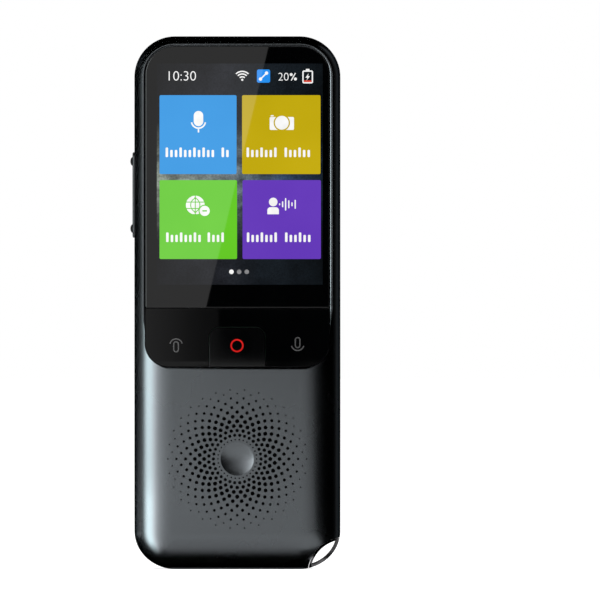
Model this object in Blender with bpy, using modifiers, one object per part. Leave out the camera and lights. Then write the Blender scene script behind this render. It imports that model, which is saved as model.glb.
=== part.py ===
"""Handheld translator: a rounded pocket device with a small screen, a ramp of keys and a speaker grille.

Metres, +Z up. The device stands on the flat of its lower end and its screen faces -Y. Each piece is drawn
as seen from the front (x across, y up the length, z out of the screen, from the middle of the thickness),
and one empty stands the drawing upright.
"""

import math

import bmesh
import bpy
from mathutils import Matrix, Vector

MM = 0.001

# Screen
ACTIVE_WIDTH = 36.72 * MM
ACTIVE_HEIGHT = 48.96 * MM
ACTIVE_SHIFT = 0.55 * MM
GLASS_THICKNESS = 0.9 * MM
GLASS_RECESS = 0.05 * MM
GLASS_CHAMFER = 0.12 * MM
LCD_SIDE_BORDER = 0.75 * MM
LCD_HEAD_BORDER = 1.4 * MM
LCD_FOOT_BORDER = 2.5 * MM
LCD_THICKNESS = 1.0 * MM
BACKLIGHT_THICKNESS = 0.9 * MM
LCD_FLEX_WIDTH = 14.0 * MM
LCD_FLEX_THICKNESS = 0.2 * MM
LCD_FLEX_REACH = 5.2 * MM
LCD_FLEX_SETBACK = 2.3 * MM

# Housing
CORNER_SPREAD = 2.75 * MM
BASE_FLAT = 5.4 * MM
WALL = 1.2 * MM
PARTING_GAP = 0.2 * MM
LIP_THICKNESS = 0.45 * MM
LIP_DEPTH = 0.9 * MM
FIT = 0.3 * MM
OVERRUN = 1.5 * MM
OVERLAP = 0.01 * MM
WELD = 0.001 * MM

# Screen opening and the key ramp below it
DISPLAY_DROP = 1.92 * MM
OPENING_SIDE_INSET = 2.35 * MM
OPENING_TOP_INSET = 2.1 * MM
OPENING_TOP_RADIUS = 6.6 * MM
OPENING_LOW_RADIUS = 5.3 * MM
RAMP_LENGTH = 13.1 * MM
SEAM_GAP = 0.2 * MM
LEDGE_THICKNESS = 0.8 * MM
LEDGE_AT_FOOT = 2.7 * MM
LEDGE_AT_HEAD = 2.64 * MM

# Keys
KEY_CROWN = 0.05 * MM
KEY_SKIN = 1.0 * MM
KEY_SKIRT = 0.75 * MM
KEY_EDGE = 0.15 * MM
KEY_PLATE = 0.7 * MM
HOME_WIDTH = 12.3 * MM
HOME_HEIGHT = 8.6 * MM
HOME_CORNER = 2.2 * MM
HOME_PROUD = 0.2 * MM
HOME_TRAVEL = 0.25 * MM
HOME_TAB_REACH = 1.05 * MM
HOME_TAB_LENGTH = 3.6 * MM
HOME_TAB_THICKNESS = 0.4 * MM
HOME_TAB_ROOM = 0.4 * MM
TALK_KEY_INSET = 6.8 * MM
KEY_ROW_LIFT = 4.7 * MM
KEY_NUB_RADIUS = 1.0 * MM
RETAINER_FROM_HOME = 1.25 * MM
RETAINER_WIDTH = 4.4 * MM
RETAINER_REACH = 1.1 * MM
RETAINER_THICKNESS = 0.7 * MM
RETAINER_DROP = 0.45 * MM
PIVOT_RIB_WIDTH = 1.2 * MM
SWITCH_RADIUS = 2.2 * MM
SWITCH_HEIGHT = 0.5 * MM
KEY_BOARD_INSET = 2.05 * MM
KEY_BOARD_THICKNESS = 0.6 * MM
KEY_REST_WIDTH = 2.6 * MM

# Side rocker
ROCKER_DROP = 35.2 * MM
ROCKER_LENGTH = 19.0 * MM
ROCKER_WIDTH = 2.9 * MM
ROCKER_PROUD = 0.4 * MM
SIDE_GAP = 0.2 * MM
ROCKER_FLANGE_RIM = 0.5 * MM
ROCKER_FLANGE_SHORT = 0.7 * MM
ROCKER_FLANGE_THICKNESS = 0.55 * MM
STUD_INSET = 2.05 * MM
STUD_RADIUS = 0.95 * MM
STUD_PROUD = 0.95 * MM
SIDE_NUB_HEIGHT = 0.2 * MM
SIDE_SWITCH_LENGTH = 3.4 * MM
SIDE_SWITCH_WIDTH = 2.2 * MM
SIDE_SWITCH_THICKNESS = 0.55 * MM
SIDE_FLEX_THICKNESS = 0.2 * MM
SIDE_FLEX_WIDTH = 2.6 * MM

# Port, sound holes and aerial
USB_WIDTH = 8.94 * MM
USB_THICKNESS = 3.26 * MM
USB_DEPTH = 7.3 * MM
USB_WALL = 0.3 * MM
USB_RECESS = 0.35 * MM
USB_SEAT = 0.29 * MM
TONGUE_WIDTH = 6.7 * MM
TONGUE_THICKNESS = 0.7 * MM
TONGUE_ROOT_INSET = 0.1 * MM
SOUND_HOLE_RADIUS = 0.5 * MM
MIC_WIDTH = 3.8 * MM
MIC_HEIGHT = 3.0 * MM
MIC_THICKNESS = 1.0 * MM
MIC_FROM_PORT = 5.33 * MM
MIC_FROM_FLASH = 3.1 * MM
AERIAL_LIFT = 5.4 * MM
AERIAL_HEIGHT = 30.0 * MM
AERIAL_WIDTH = 1.7 * MM
AERIAL_THICKNESS = 0.3 * MM

# Speaker and its grille
SPEAKER_ABOVE_PORT = 2.9 * MM
KEYS_ABOVE_SPEAKER = 5.95 * MM
GRILLE_HOLES_PER_RING = 30
GRILLE_HOLE_SIDES = 5
GRILLE_FIRST_RADIUS = 5.28 * MM
GRILLE_PITCH = 1.023 * MM
GRILLE_LARGEST_HOLE = 0.86 * MM
GRILLE_HOLE_SHARES = (0.76, 0.85, 0.97, 1.0, 0.93, 0.83, 0.74, 0.63, 0.54)
DIMPLE_RADIUS = 3.67 * MM
DIMPLE_DEPTH = 0.55 * MM
MESH_RADIUS = 14.3 * MM
MESH_THICKNESS = 0.2 * MM
GASKET_THICKNESS = 0.6 * MM
GASKET_WIDTH = 1.6 * MM
SPEAKER_RADIUS = 13.9 * MM
SPEAKER_RIM = 1.4 * MM
BASKET_RADIUS = 11.4 * MM
BASKET_WALL = 0.6 * MM
MAGNET_RADIUS = 8.0 * MM
MAGNET_GAP_TO_BOARD = 0.45 * MM
CONE_THICKNESS = 0.25 * MM
CONE_DEPTH = 0.9 * MM
CONE_DOME_RADIUS = 4.5 * MM

# Chassis and boards
FRAME_THICKNESS = 0.7 * MM
FRAME_ABOVE_PORT = 1.95 * MM
STANDOFF = 1.5 * MM
BOARD_THICKNESS = 0.8 * MM
BOARD_BOTTOM = 2.3 * MM
BOARD_SETBACK = 1.4 * MM
BOARD_SIDE_INSET = 3.2 * MM
BOARD_CORNER = 6.5 * MM
BACK_ROOM = 2.33 * MM
TOP_BOARD_DROP = 6.5 * MM
TOP_BOARD_SIDE_INSET = 4.6 * MM
CAN_WIDTH = 14.0 * MM
CAN_HEIGHT = 10.4 * MM
CAN_THICKNESS = 1.1 * MM
CAN_FROM_STANDOFF = 1.1 * MM
CAN_BELOW_FLEX = 1.2 * MM
LINK_WIDTH = 6.0 * MM
LINK_FROM_SCREW = 0.7 * MM
LINK_THICKNESS = 0.2 * MM
LINK_CONTACT = 3.0 * MM

# Battery
BATTERY_SIDE_INSET = 5.05 * MM
BATTERY_FOOT_GAP = 0.2 * MM
BATTERY_HEAD_GAP = 1.6 * MM
BATTERY_EDGE = 0.9 * MM
PLUG_WIDTH = 4.6 * MM
PLUG_HEIGHT = 2.8 * MM
PLUG_THICKNESS = 1.1 * MM
PLUG_FROM_FLEX = 1.3 * MM
LEAD_RADIUS = 0.35 * MM
LEAD_SPACING = 1.6 * MM

# Camera on the back
CAMERA_DROP = 12.6 * MM
CAMERA_END_GAP = 0.4 * MM
FLASH_END_GAP = 0.2 * MM
PLATE_WIDTH = 24.0 * MM
PLATE_BORDER = 1.5 * MM
PLATE_PROUD = 0.27 * MM
PLATE_POCKET = 0.75 * MM
CAMERA_RING_RADIUS = 3.9 * MM
CAMERA_RING_WIDTH = 0.8 * MM
CAMERA_WINDOW_RECESS = 0.12 * MM
CAMERA_WINDOW_THICKNESS = 0.4 * MM
CAMERA_SIZE = 8.0 * MM
CAMERA_BARREL_RADIUS = 2.6 * MM
FLASH_RADIUS = 1.3 * MM
FLASH_LED_SIZE = 2.2 * MM
FLASH_LED_THICKNESS = 0.8 * MM

# Lanyard loop in the lower right corner
BITE_RADIUS = 7.5 * MM
BITE_BESIDE = 0.85 * MM
BITE_BELOW = 0.95 * MM
LOOP_LINER = 0.45 * MM
LOOP_GAP = 0.12 * MM
LOOP_BAR_THICKNESS = 0.8 * MM
LOOP_BAR_WIDTH = 2.1 * MM
LOOP_BAR_OVERLAP_DEGREES = 4.0

# Screws
SCREW_RADIUS = 0.6 * MM
SCREW_HEAD_RADIUS = 1.1 * MM
SCREW_HEAD_HEIGHT = 0.6 * MM
BOSS_RADIUS = 1.75 * MM
SCREW_INSET = 5.5 * MM
LOW_SCREW_LIFT = 2.8 * MM
HIGH_SCREW_DROP = 2.1 * MM
BOARD_SCREW_INSET = 3.65 * MM
BOARD_SCREW_LIFT = 4.0 * MM

# Faceting
CORNER_STEPS = 7
EDGE_STEPS = 4
ARC_STEPS = 5
RAMP_STEPS = 8
BITE_SIDES = 48
ROUND_SIDES = 24
SMALL_SIDES = 16
BOSS_SIDES = 12
SCREW_SIDES = 8
SLOT_STEPS = 8
PLATE_STEPS = 12
BAR_STEPS = 10
SMOOTH_DEGREES = 35.0

# Thickness: what lies between the screen's plane and the back adds up to it
SCREEN_STACK = GLASS_RECESS + GLASS_THICKNESS + FIT + LCD_THICKNESS + FIT + BACKLIGHT_THICKNESS + FIT
BOARD_STACK = FRAME_THICKNESS + STANDOFF + FIT + BOARD_THICKNESS
BODY_THICKNESS = DISPLAY_DROP + SCREEN_STACK + BOARD_STACK + BACK_ROOM + WALL
FRONT = BODY_THICKNESS / 2
EDGE_RADIUS = BODY_THICKNESS / 2
INNER_RADIUS = EDGE_RADIUS - WALL
CORNER_RADIUS = EDGE_RADIUS + CORNER_SPREAD
BASE_CUT = EDGE_RADIUS - math.sqrt(EDGE_RADIUS ** 2 - (BASE_FLAT / 2) ** 2)

# Levels, from the middle of the thickness towards the screen
DISPLAY_LEVEL = FRONT - DISPLAY_DROP
GLASS_TOP = DISPLAY_LEVEL - GLASS_RECESS
GLASS_BACK = GLASS_TOP - GLASS_THICKNESS
LEDGE_TOP = GLASS_BACK - FIT
LEDGE_BACK = LEDGE_TOP - LEDGE_THICKNESS
LCD_BACK = LEDGE_TOP - LCD_THICKNESS
LIGHT_TOP = LCD_BACK - FIT
LIGHT_BACK = LIGHT_TOP - BACKLIGHT_THICKNESS
FRAME_TOP = LIGHT_BACK - FIT
FRAME_BACK = FRAME_TOP - FRAME_THICKNESS
BOARD_FRONT = FRAME_BACK - STANDOFF - FIT
BOARD_BACK = BOARD_FRONT - BOARD_THICKNESS
TOP_BOARD_FRONT = FRAME_BACK - FIT
TOP_BOARD_BACK = TOP_BOARD_FRONT - BOARD_THICKNESS
PORT_LEVEL = BOARD_FRONT + USB_SEAT + USB_THICKNESS / 2
SKIRT_LEVEL = DISPLAY_LEVEL - KEY_PLATE
NUB_TIP = SKIRT_LEVEL + FIT / 2
SWITCH_TOP = NUB_TIP - FIT
SWITCH_BACK = SWITCH_TOP - SWITCH_HEIGHT
KEY_BOARD_FRONT = SWITCH_BACK - FIT
KEY_BOARD_BACK = KEY_BOARD_FRONT - KEY_BOARD_THICKNESS
HOME_TAB_BACK = SWITCH_TOP + HOME_TRAVEL + FIT / 3
INNER_FRONT = FRONT - WALL
INNER_BACK = -FRONT + WALL

# Width: the screen and the rocker's parts beside it add up to it
ROCKER_FLANGE_LENGTH = ROCKER_LENGTH - 2 * ROCKER_FLANGE_SHORT
ROCKER_FLANGE_WIDTH = ROCKER_WIDTH + 2 * ROCKER_FLANGE_RIM
FLANGE_SETBACK = INNER_RADIUS - math.sqrt(INNER_RADIUS ** 2 - (ROCKER_FLANGE_WIDTH / 2) ** 2)
ROCKER_STACK = WALL + FIT + FLANGE_SETBACK + ROCKER_FLANGE_THICKNESS
SWITCH_STACK = SIDE_NUB_HEIGHT + FIT + SIDE_SWITCH_THICKNESS + FIT + SIDE_FLEX_THICKNESS
LCD_LEFT = ACTIVE_SHIFT - ACTIVE_WIDTH / 2 - LCD_SIDE_BORDER
LCD_RIGHT = ACTIVE_SHIFT + ACTIVE_WIDTH / 2 + LCD_SIDE_BORDER
HALF_WIDTH = ROCKER_STACK + SWITCH_STACK + FIT - LCD_LEFT
BODY_WIDTH = 2 * HALF_WIDTH
OPENING_HALF_WIDTH = HALF_WIDTH - OPENING_SIDE_INSET
GLASS_HALF_WIDTH = OPENING_HALF_WIDTH - SEAM_GAP
KEY_BOARD_WIDTH = 2 * (GLASS_HALF_WIDTH - KEY_BOARD_INSET)
TALK_KEY_OFFSET = GLASS_HALF_WIDTH - TALK_KEY_INSET
RETAINER_INNER = HOME_WIDTH / 2 + SEAM_GAP + RETAINER_FROM_HOME
RETAINER_OUTER = RETAINER_INNER + RETAINER_WIDTH
ROCKER_FACE_X = -HALF_WIDTH - ROCKER_PROUD
ROCKER_FLANGE_OUT_X = -HALF_WIDTH + WALL + FIT + FLANGE_SETBACK
ROCKER_FLANGE_IN_X = ROCKER_FLANGE_OUT_X + ROCKER_FLANGE_THICKNESS
SIDE_NUB_X = ROCKER_FLANGE_IN_X + SIDE_NUB_HEIGHT
SIDE_SWITCH_X = SIDE_NUB_X + FIT
SIDE_FLEX_X = SIDE_SWITCH_X + SIDE_SWITCH_THICKNESS + FIT
FRAME_NOTCH_X = SIDE_FLEX_X + SIDE_FLEX_THICKNESS + FIT
BATTERY_WIDTH = BODY_WIDTH - 2 * BATTERY_SIDE_INSET
PLUG_OFFSET = LCD_FLEX_WIDTH / 2 + PLUG_FROM_FLEX + PLUG_WIDTH / 2
PLATE_HEIGHT = 2 * (CAMERA_RING_RADIUS + PLATE_BORDER)
CAMERA_OFFSET = PLATE_HEIGHT / 2 + CAMERA_END_GAP - PLATE_WIDTH / 2
FLASH_OFFSET = PLATE_WIDTH / 2 - PLATE_HEIGHT / 2 - FLASH_END_GAP
SCREW_X = HALF_WIDTH - SCREW_INSET
CAN_MIDDLE_X = -(SCREW_X - BOSS_RADIUS - CAN_FROM_STANDOFF - CAN_WIDTH / 2)
BOARD_SCREW_OFFSET = HALF_WIDTH - TOP_BOARD_SIDE_INSET - BOARD_SCREW_INSET
LINK_OFFSET = BOARD_SCREW_OFFSET - SCREW_HEAD_RADIUS - LINK_FROM_SCREW - LINK_WIDTH / 2
LOWER_MIC_OFFSET = -USB_WIDTH / 2 - MIC_FROM_PORT
UPPER_MIC_OFFSET = FLASH_OFFSET + MIC_FROM_FLASH

# Heights above the base: port, speaker, keys and screen follow one another up to the top
PORT_TOP = USB_RECESS + USB_DEPTH
FRAME_BOTTOM = PORT_TOP + FRAME_ABOVE_PORT
LOW_SCREW_HEIGHT = FRAME_BOTTOM + LOW_SCREW_LIFT
SPEAKER_HEIGHT = PORT_TOP + SPEAKER_ABOVE_PORT + SPEAKER_RADIUS
OPENING_BOTTOM = SPEAKER_HEIGHT + MESH_RADIUS + KEYS_ABOVE_SPEAKER
HIGH_SCREW_HEIGHT = OPENING_BOTTOM - HIGH_SCREW_DROP
KEY_ROW_HEIGHT = OPENING_BOTTOM + KEY_ROW_LIFT
SEAM_HEIGHT = OPENING_BOTTOM + RAMP_LENGTH
KEY_BOTTOM = OPENING_BOTTOM + SEAM_GAP
KEY_TOP = SEAM_HEIGHT - SEAM_GAP / 2
HOME_TOP = KEY_BOTTOM + HOME_HEIGHT
LCD_BOTTOM = SEAM_HEIGHT + LEDGE_AT_FOOT
ACTIVE_BOTTOM = LCD_BOTTOM + LCD_FOOT_BORDER
LCD_TOP_EDGE = ACTIVE_BOTTOM + ACTIVE_HEIGHT + LCD_HEAD_BORDER
OPENING_TOP = LCD_TOP_EDGE + LEDGE_AT_HEAD
BODY_LENGTH = OPENING_TOP + OPENING_TOP_INSET
FLEX_DROP_HEIGHT = LCD_BOTTOM - LCD_FLEX_SETBACK
FLEX_FOOT_HEIGHT = FLEX_DROP_HEIGHT - LCD_FLEX_REACH
CAN_MIDDLE_Y = FLEX_FOOT_HEIGHT - CAN_BELOW_FLEX - CAN_HEIGHT / 2
BOARD_TOP_EDGE = SEAM_HEIGHT - BOARD_SETBACK
CAMERA_HEIGHT = BODY_LENGTH - CAMERA_DROP
TOP_BOARD_BOTTOM = CAMERA_HEIGHT - TOP_BOARD_DROP
BOARD_SCREW_HEIGHT = TOP_BOARD_BOTTOM + BOARD_SCREW_LIFT
BATTERY_BOTTOM = FLEX_DROP_HEIGHT + LCD_FLEX_THICKNESS + BATTERY_FOOT_GAP
BATTERY_TOP = TOP_BOARD_BOTTOM - BATTERY_HEAD_GAP
AERIAL_BOTTOM = BATTERY_BOTTOM + AERIAL_LIFT
ROCKER_MIDDLE = BODY_LENGTH - ROCKER_DROP
STUD_SPACING = ROCKER_LENGTH - 2 * STUD_INSET
SIDE_FLEX_HALF_LENGTH = STUD_SPACING / 2 + SIDE_SWITCH_LENGTH / 2 + FIT

# Lanyard corner
BITE_X = HALF_WIDTH + BITE_BESIDE
BITE_Y = -BITE_BELOW
LOOP_SEAT_RADIUS = BITE_RADIUS + LOOP_LINER + LOOP_GAP
LOOP_WALL_RADIUS = LOOP_SEAT_RADIUS + WALL

PARTS = "translator"
CUTTERS = "cutters"


def clear_scene():
    """Removes whatever the scene holds."""
    for item in list(bpy.data.objects):
        bpy.data.objects.remove(item, do_unlink=True)


def make_collection(name):
    """A fresh collection in the scene."""
    group = bpy.data.collections.new(name)
    bpy.context.scene.collection.children.link(group)
    return group


def material(name, colour, roughness, metallic=0.0):
    """A Principled material."""
    made = bpy.data.materials.new(name)
    made.use_nodes = True
    shader = made.node_tree.nodes["Principled BSDF"]
    shader.inputs["Base Color"].default_value = (*colour, 1.0)
    shader.inputs["Roughness"].default_value = roughness
    shader.inputs["Metallic"].default_value = metallic
    return made


def add_object(name, mesh, finish=None):
    """Links a mesh as a part when it has a finish, or else as a cutter."""
    made = bpy.data.objects.new(name, mesh)
    made.parent = bpy.data.objects["stand"]
    mesh.shade_smooth()
    mesh.set_sharp_from_angle(angle=math.radians(SMOOTH_DEGREES))
    if finish is None:
        bpy.data.collections[CUTTERS].objects.link(made)
        made.hide_render = True
        made.display_type = "WIRE"
    else:
        bpy.data.collections[PARTS].objects.link(made)
        mesh.materials.append(finish)
    return made


def from_bmesh(name, shape, finish=None):
    """Turns a bmesh into an object."""
    mesh = bpy.data.meshes.new(name)
    bmesh.ops.recalc_face_normals(shape, faces=shape.faces)
    shape.to_mesh(mesh)
    shape.free()
    return add_object(name, mesh, finish)


def solid_from_curve(name, curve, place, finish=None):
    """Turns a curve with a depth into one closed mesh, moved by a matrix."""
    source = bpy.data.objects.new(name + "_outline", curve)
    bpy.data.collections[CUTTERS].objects.link(source)
    graph = bpy.context.evaluated_depsgraph_get()
    mesh = bpy.data.meshes.new_from_object(source.evaluated_get(graph))
    bpy.data.objects.remove(source, do_unlink=True)
    shape = bmesh.new()
    shape.from_mesh(mesh)
    bpy.data.meshes.remove(mesh)
    bmesh.ops.remove_doubles(shape, verts=shape.verts, dist=WELD)
    bmesh.ops.transform(shape, matrix=place, verts=shape.verts)
    return from_bmesh(name, shape, finish)


def flat_curve(name, outlines, depth):
    """A filled 2D curve: the first outline is the edge, any further ones are holes."""
    curve = bpy.data.curves.new(name, "CURVE")
    curve.dimensions = "2D"
    curve.fill_mode = "BOTH"
    curve.extrude = depth / 2
    for points in outlines:
        spline = curve.splines.new("POLY")
        spline.points.add(len(points) - 1)
        spline.use_cyclic_u = True
        for point, (x, y) in zip(spline.points, points):
            point.co = (x, y, 0.0, 1.0)
    return curve


def plate(name, outlines, low, high, finish=None):
    """An outline seen from the front, with its thickness from low to high."""
    curve = flat_curve(name, outlines, high - low)
    return solid_from_curve(name, curve, Matrix.Translation((0, 0, (low + high) / 2)), finish)


def side_profile(name, points, left, right, finish=None):
    """A profile of (height, level) points seen from the side, carried across from left to right."""
    turn = Matrix(((0, 0, 1, 0), (1, 0, 0, 0), (0, 1, 0, 0), (0, 0, 0, 1)))
    curve = flat_curve(name, [points], right - left)
    return solid_from_curve(name, curve, Matrix.Translation(((left + right) / 2, 0, 0)) @ turn, finish)


def end_profile(name, outlines, low, high, finish=None):
    """Outlines of (x, level) points seen from the end, carried up the length from low to high."""
    turn = Matrix(((1, 0, 0, 0), (0, 0, -1, 0), (0, 1, 0, 0), (0, 0, 0, 1)))
    curve = flat_curve(name, outlines, high - low)
    return solid_from_curve(name, curve, Matrix.Translation((0, (low + high) / 2, 0)) @ turn, finish)


def add_block(shape, left, right, bottom, top, low, high):
    """Adds a box to a bmesh."""
    size = Matrix.Diagonal((right - left, top - bottom, high - low, 1))
    place = Matrix.Translation(((left + right) / 2, (bottom + top) / 2, (low + high) / 2))
    bmesh.ops.create_cube(shape, size=1, matrix=place @ size)


def block(name, left, right, bottom, top, low, high, finish=None):
    """A box."""
    shape = bmesh.new()
    add_block(shape, left, right, bottom, top, low, high)
    return from_bmesh(name, shape, finish)


def add_drum(shape, x, y, radius, low, high, sides, turn=0.0, top_radius=None):
    """Adds a cylinder to a bmesh, along the thickness, or a cone if its top radius differs."""
    place = Matrix.Translation((x, y, (low + high) / 2)) @ Matrix.Rotation(turn, 4, "Z")
    end = radius if top_radius is None else top_radius
    bmesh.ops.create_cone(shape, cap_ends=True, segments=sides, radius1=radius, radius2=end,
                          depth=high - low, matrix=place)


def drum(name, x, y, radius, low, high, sides, finish=None):
    """A cylinder along the thickness."""
    shape = bmesh.new()
    add_drum(shape, x, y, radius, low, high, sides)
    return from_bmesh(name, shape, finish)


def turned(name, profile, x, y, sides, finish):
    """A turned shape about an axis along the thickness, from (radius, level) points, outside first."""
    shape = bmesh.new()
    points = [shape.verts.new((radius, 0, level)) for radius, level in profile]
    for start, end in zip(points, points[1:]):
        shape.edges.new((start, end))
    mesh = bpy.data.meshes.new(name)
    shape.to_mesh(mesh)
    shape.free()
    made = add_object(name, mesh, finish)
    made.location = (x, y, 0)
    screw = made.modifiers.new("turn", "SCREW")
    screw.steps = sides
    screw.render_steps = sides
    screw.use_merge_vertices = True
    screw.merge_threshold = WELD
    return made


def cut(target, cutter):
    """Cuts one shape out of another."""
    step = target.modifiers.new("cut " + cutter.name, "BOOLEAN")
    step.operation = "DIFFERENCE"
    step.solver = "EXACT"
    step.object = cutter


def fuse(target, other):
    """Joins one shape to another."""
    step = target.modifiers.new("join " + other.name, "BOOLEAN")
    step.operation = "UNION"
    step.solver = "EXACT"
    step.object = other


def keep_common(target, other):
    """Keeps what two shapes share."""
    step = target.modifiers.new("keep " + other.name, "BOOLEAN")
    step.operation = "INTERSECT"
    step.solver = "EXACT"
    step.object = other


def soften(target, width, segments=1):
    """Rounds the sharp edges of a shape."""
    step = target.modifiers.new("edges", "BEVEL")
    step.width = width
    step.segments = segments
    step.limit_method = "ANGLE"
    step.angle_limit = math.radians(SMOOTH_DEGREES)


def put_origin(target, x, y, z):
    """Moves an object's origin and leaves its shape where it is."""
    target.data.transform(Matrix.Translation((-x, -y, -z)))
    target.location = (x, y, z)


def arc(x, y, radius, start, end, steps):
    """Points on an arc, from one angle to another in degrees, both ends included."""
    angles = [math.radians(start + (end - start) * step / steps) for step in range(steps + 1)]
    return [(x + radius * math.cos(angle), y + radius * math.sin(angle)) for angle in angles]


def circle(x, y, radius, sides):
    """Points round a circle."""
    return arc(x, y, radius, 0, 360, sides)[:-1]


def rounded(left, right, bottom, top, low_radius, high_radius=None, steps=ARC_STEPS):
    """A rectangle with round corners, which may differ between its lower and upper end."""
    high = low_radius if high_radius is None else high_radius
    points = arc(right - low_radius, bottom + low_radius, low_radius, -90, 0, steps)
    points += arc(right - high, top - high, high, 0, 90, steps)
    points += arc(left + high, top - high, high, 90, 180, steps)
    points += arc(left + low_radius, bottom + low_radius, low_radius, 180, 270, steps)
    return points


def pill(left, right, middle, radius, steps):
    """An outline with two straight sides and two half-round ends."""
    points = arc(right - radius, middle, radius, -90, 90, steps)
    return points + arc(left + radius, middle, radius, 90, 270, steps)


def ramp_level(height, proud=0.0):
    """The level of the key ramp at a height: it leaves the screen's plane and rises to the lower face."""
    share = min(max((KEY_TOP - height) / (KEY_TOP - KEY_BOTTOM), 0.0), 1.0)
    rise = FRONT + KEY_CROWN - DISPLAY_LEVEL
    return DISPLAY_LEVEL + rise * share * share * (3 - 2 * share) + proud


def ramp_points(proud, bottom, top, drop=0.0):
    """The ramp's line from one height up to another."""
    heights = [bottom + (top - bottom) * step / RAMP_STEPS for step in range(RAMP_STEPS + 1)]
    return [(height, ramp_level(height, proud) - drop) for height in heights]


def pillow(name, inset, finish=None, lift=0.0):
    """The housing's outer form, or one inset all over, with its lower end lifted: a half-round edge."""
    radius = CORNER_RADIUS - EDGE_RADIUS
    handle = radius * 4 / 3 * math.tan(math.radians(22.5))
    low = EDGE_RADIUS - BASE_CUT + lift
    high = BODY_LENGTH - EDGE_RADIUS
    side = HALF_WIDTH - EDGE_RADIUS
    centres = ((side - radius, low + radius), (side - radius, high - radius),
               (radius - side, high - radius), (radius - side, low + radius))
    curve = bpy.data.curves.new(name, "CURVE")
    curve.dimensions = "2D"
    curve.fill_mode = "BOTH"
    curve.resolution_u = CORNER_STEPS
    curve.bevel_depth = EDGE_RADIUS - inset
    curve.bevel_resolution = EDGE_STEPS
    spline = curve.splines.new("BEZIER")
    spline.bezier_points.add(2 * len(centres) - 1)
    spline.use_cyclic_u = True
    for index, (x, y) in enumerate(centres):
        first, last = spline.bezier_points[2 * index], spline.bezier_points[2 * index + 1]
        out = Vector((math.cos(math.radians(90 * index - 90)), math.sin(math.radians(90 * index - 90)), 0))
        along = Vector((-out.y, out.x, 0))
        centre = Vector((x, y, 0))
        first.co = centre + out * radius
        last.co = centre + along * radius
        first.handle_left_type = "VECTOR"
        first.handle_right_type = "FREE"
        first.handle_right = first.co + along * handle
        last.handle_left_type = "FREE"
        last.handle_left = last.co + out * handle
        last.handle_right_type = "VECTOR"
    return solid_from_curve(name, curve, Matrix.Identity(4), finish)


def finishes():
    """The materials by name."""
    table = {
        "slate": ((0.115, 0.13, 0.142), 0.34, 0.75),
        "black_glass": ((0.004, 0.004, 0.005), 0.05, 0.0),
        "black_key": ((0.006, 0.006, 0.007), 0.12, 0.0),
        "dark_key": ((0.012, 0.013, 0.014), 0.25, 0.0),
        "side_key": ((0.13, 0.14, 0.15), 0.35, 0.7),
        "rubber": ((0.01, 0.01, 0.01), 0.6, 0.0),
        "chrome": ((0.6, 0.61, 0.62), 0.12, 1.0),
        "steel": ((0.45, 0.45, 0.44), 0.35, 1.0),
        "chassis": ((0.09, 0.09, 0.095), 0.5, 0.3),
        "board": ((0.01, 0.06, 0.03), 0.5, 0.0),
        "flex": ((0.3, 0.12, 0.02), 0.5, 0.0),
        "plastic": ((0.02, 0.02, 0.02), 0.5, 0.0),
        "lcd": ((0.02, 0.02, 0.03), 0.1, 0.0),
        "diffuser": ((0.75, 0.75, 0.75), 0.4, 0.0),
        "foil": ((0.35, 0.36, 0.38), 0.3, 0.9),
        "foam": ((0.015, 0.015, 0.015), 0.9, 0.0),
        "paper": ((0.03, 0.03, 0.03), 0.8, 0.0),
        "clear": ((0.05, 0.055, 0.07), 0.03, 0.0),
        "diode": ((0.8, 0.7, 0.2), 0.4, 0.0),
    }
    return {name: material(name, *values) for name, values in table.items()}


def opening_outline(grow=0.0, bottom=OPENING_BOTTOM, top=OPENING_TOP,
                    low_radius=OPENING_LOW_RADIUS, high_radius=OPENING_TOP_RADIUS):
    """The front opening's outline, or one inset from it when grow is negative."""
    return rounded(-OPENING_HALF_WIDTH - grow, OPENING_HALF_WIDTH + grow, bottom - grow, top + grow,
                   low_radius + grow, high_radius + grow)


def home_outline(grow=0.0):
    """The home button's outline, open to the ramp's lower edge."""
    return rounded(-HOME_WIDTH / 2 - grow, HOME_WIDTH / 2 + grow, KEY_BOTTOM, HOME_TOP + grow,
                   KEY_EDGE, HOME_CORNER + grow)


def port_outline(grow=0.0):
    """The port's rounded slot, seen from the end."""
    side = USB_WIDTH / 2 + grow
    return pill(-side, side, PORT_LEVEL, USB_THICKNESS / 2 + grow, SLOT_STEPS)


def make_cavity():
    """The hollow inside the shells, without the ledge that carries the screen."""
    cavity = pillow("cavity", WALL, lift=BASE_CUT)
    ledge = block("screen_ledge", -BODY_WIDTH, BODY_WIDTH, SEAM_HEIGHT + SEAM_GAP / 2 - OVERLAP,
                  BODY_LENGTH + OVERRUN, LEDGE_BACK, FRONT + OVERRUN)
    cut(cavity, ledge)
    reach = FRONT + OVERRUN
    cut(cavity, drum("loop_wall", BITE_X, BITE_Y, LOOP_WALL_RADIUS, -reach, reach, BITE_SIDES))
    return cavity


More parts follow.
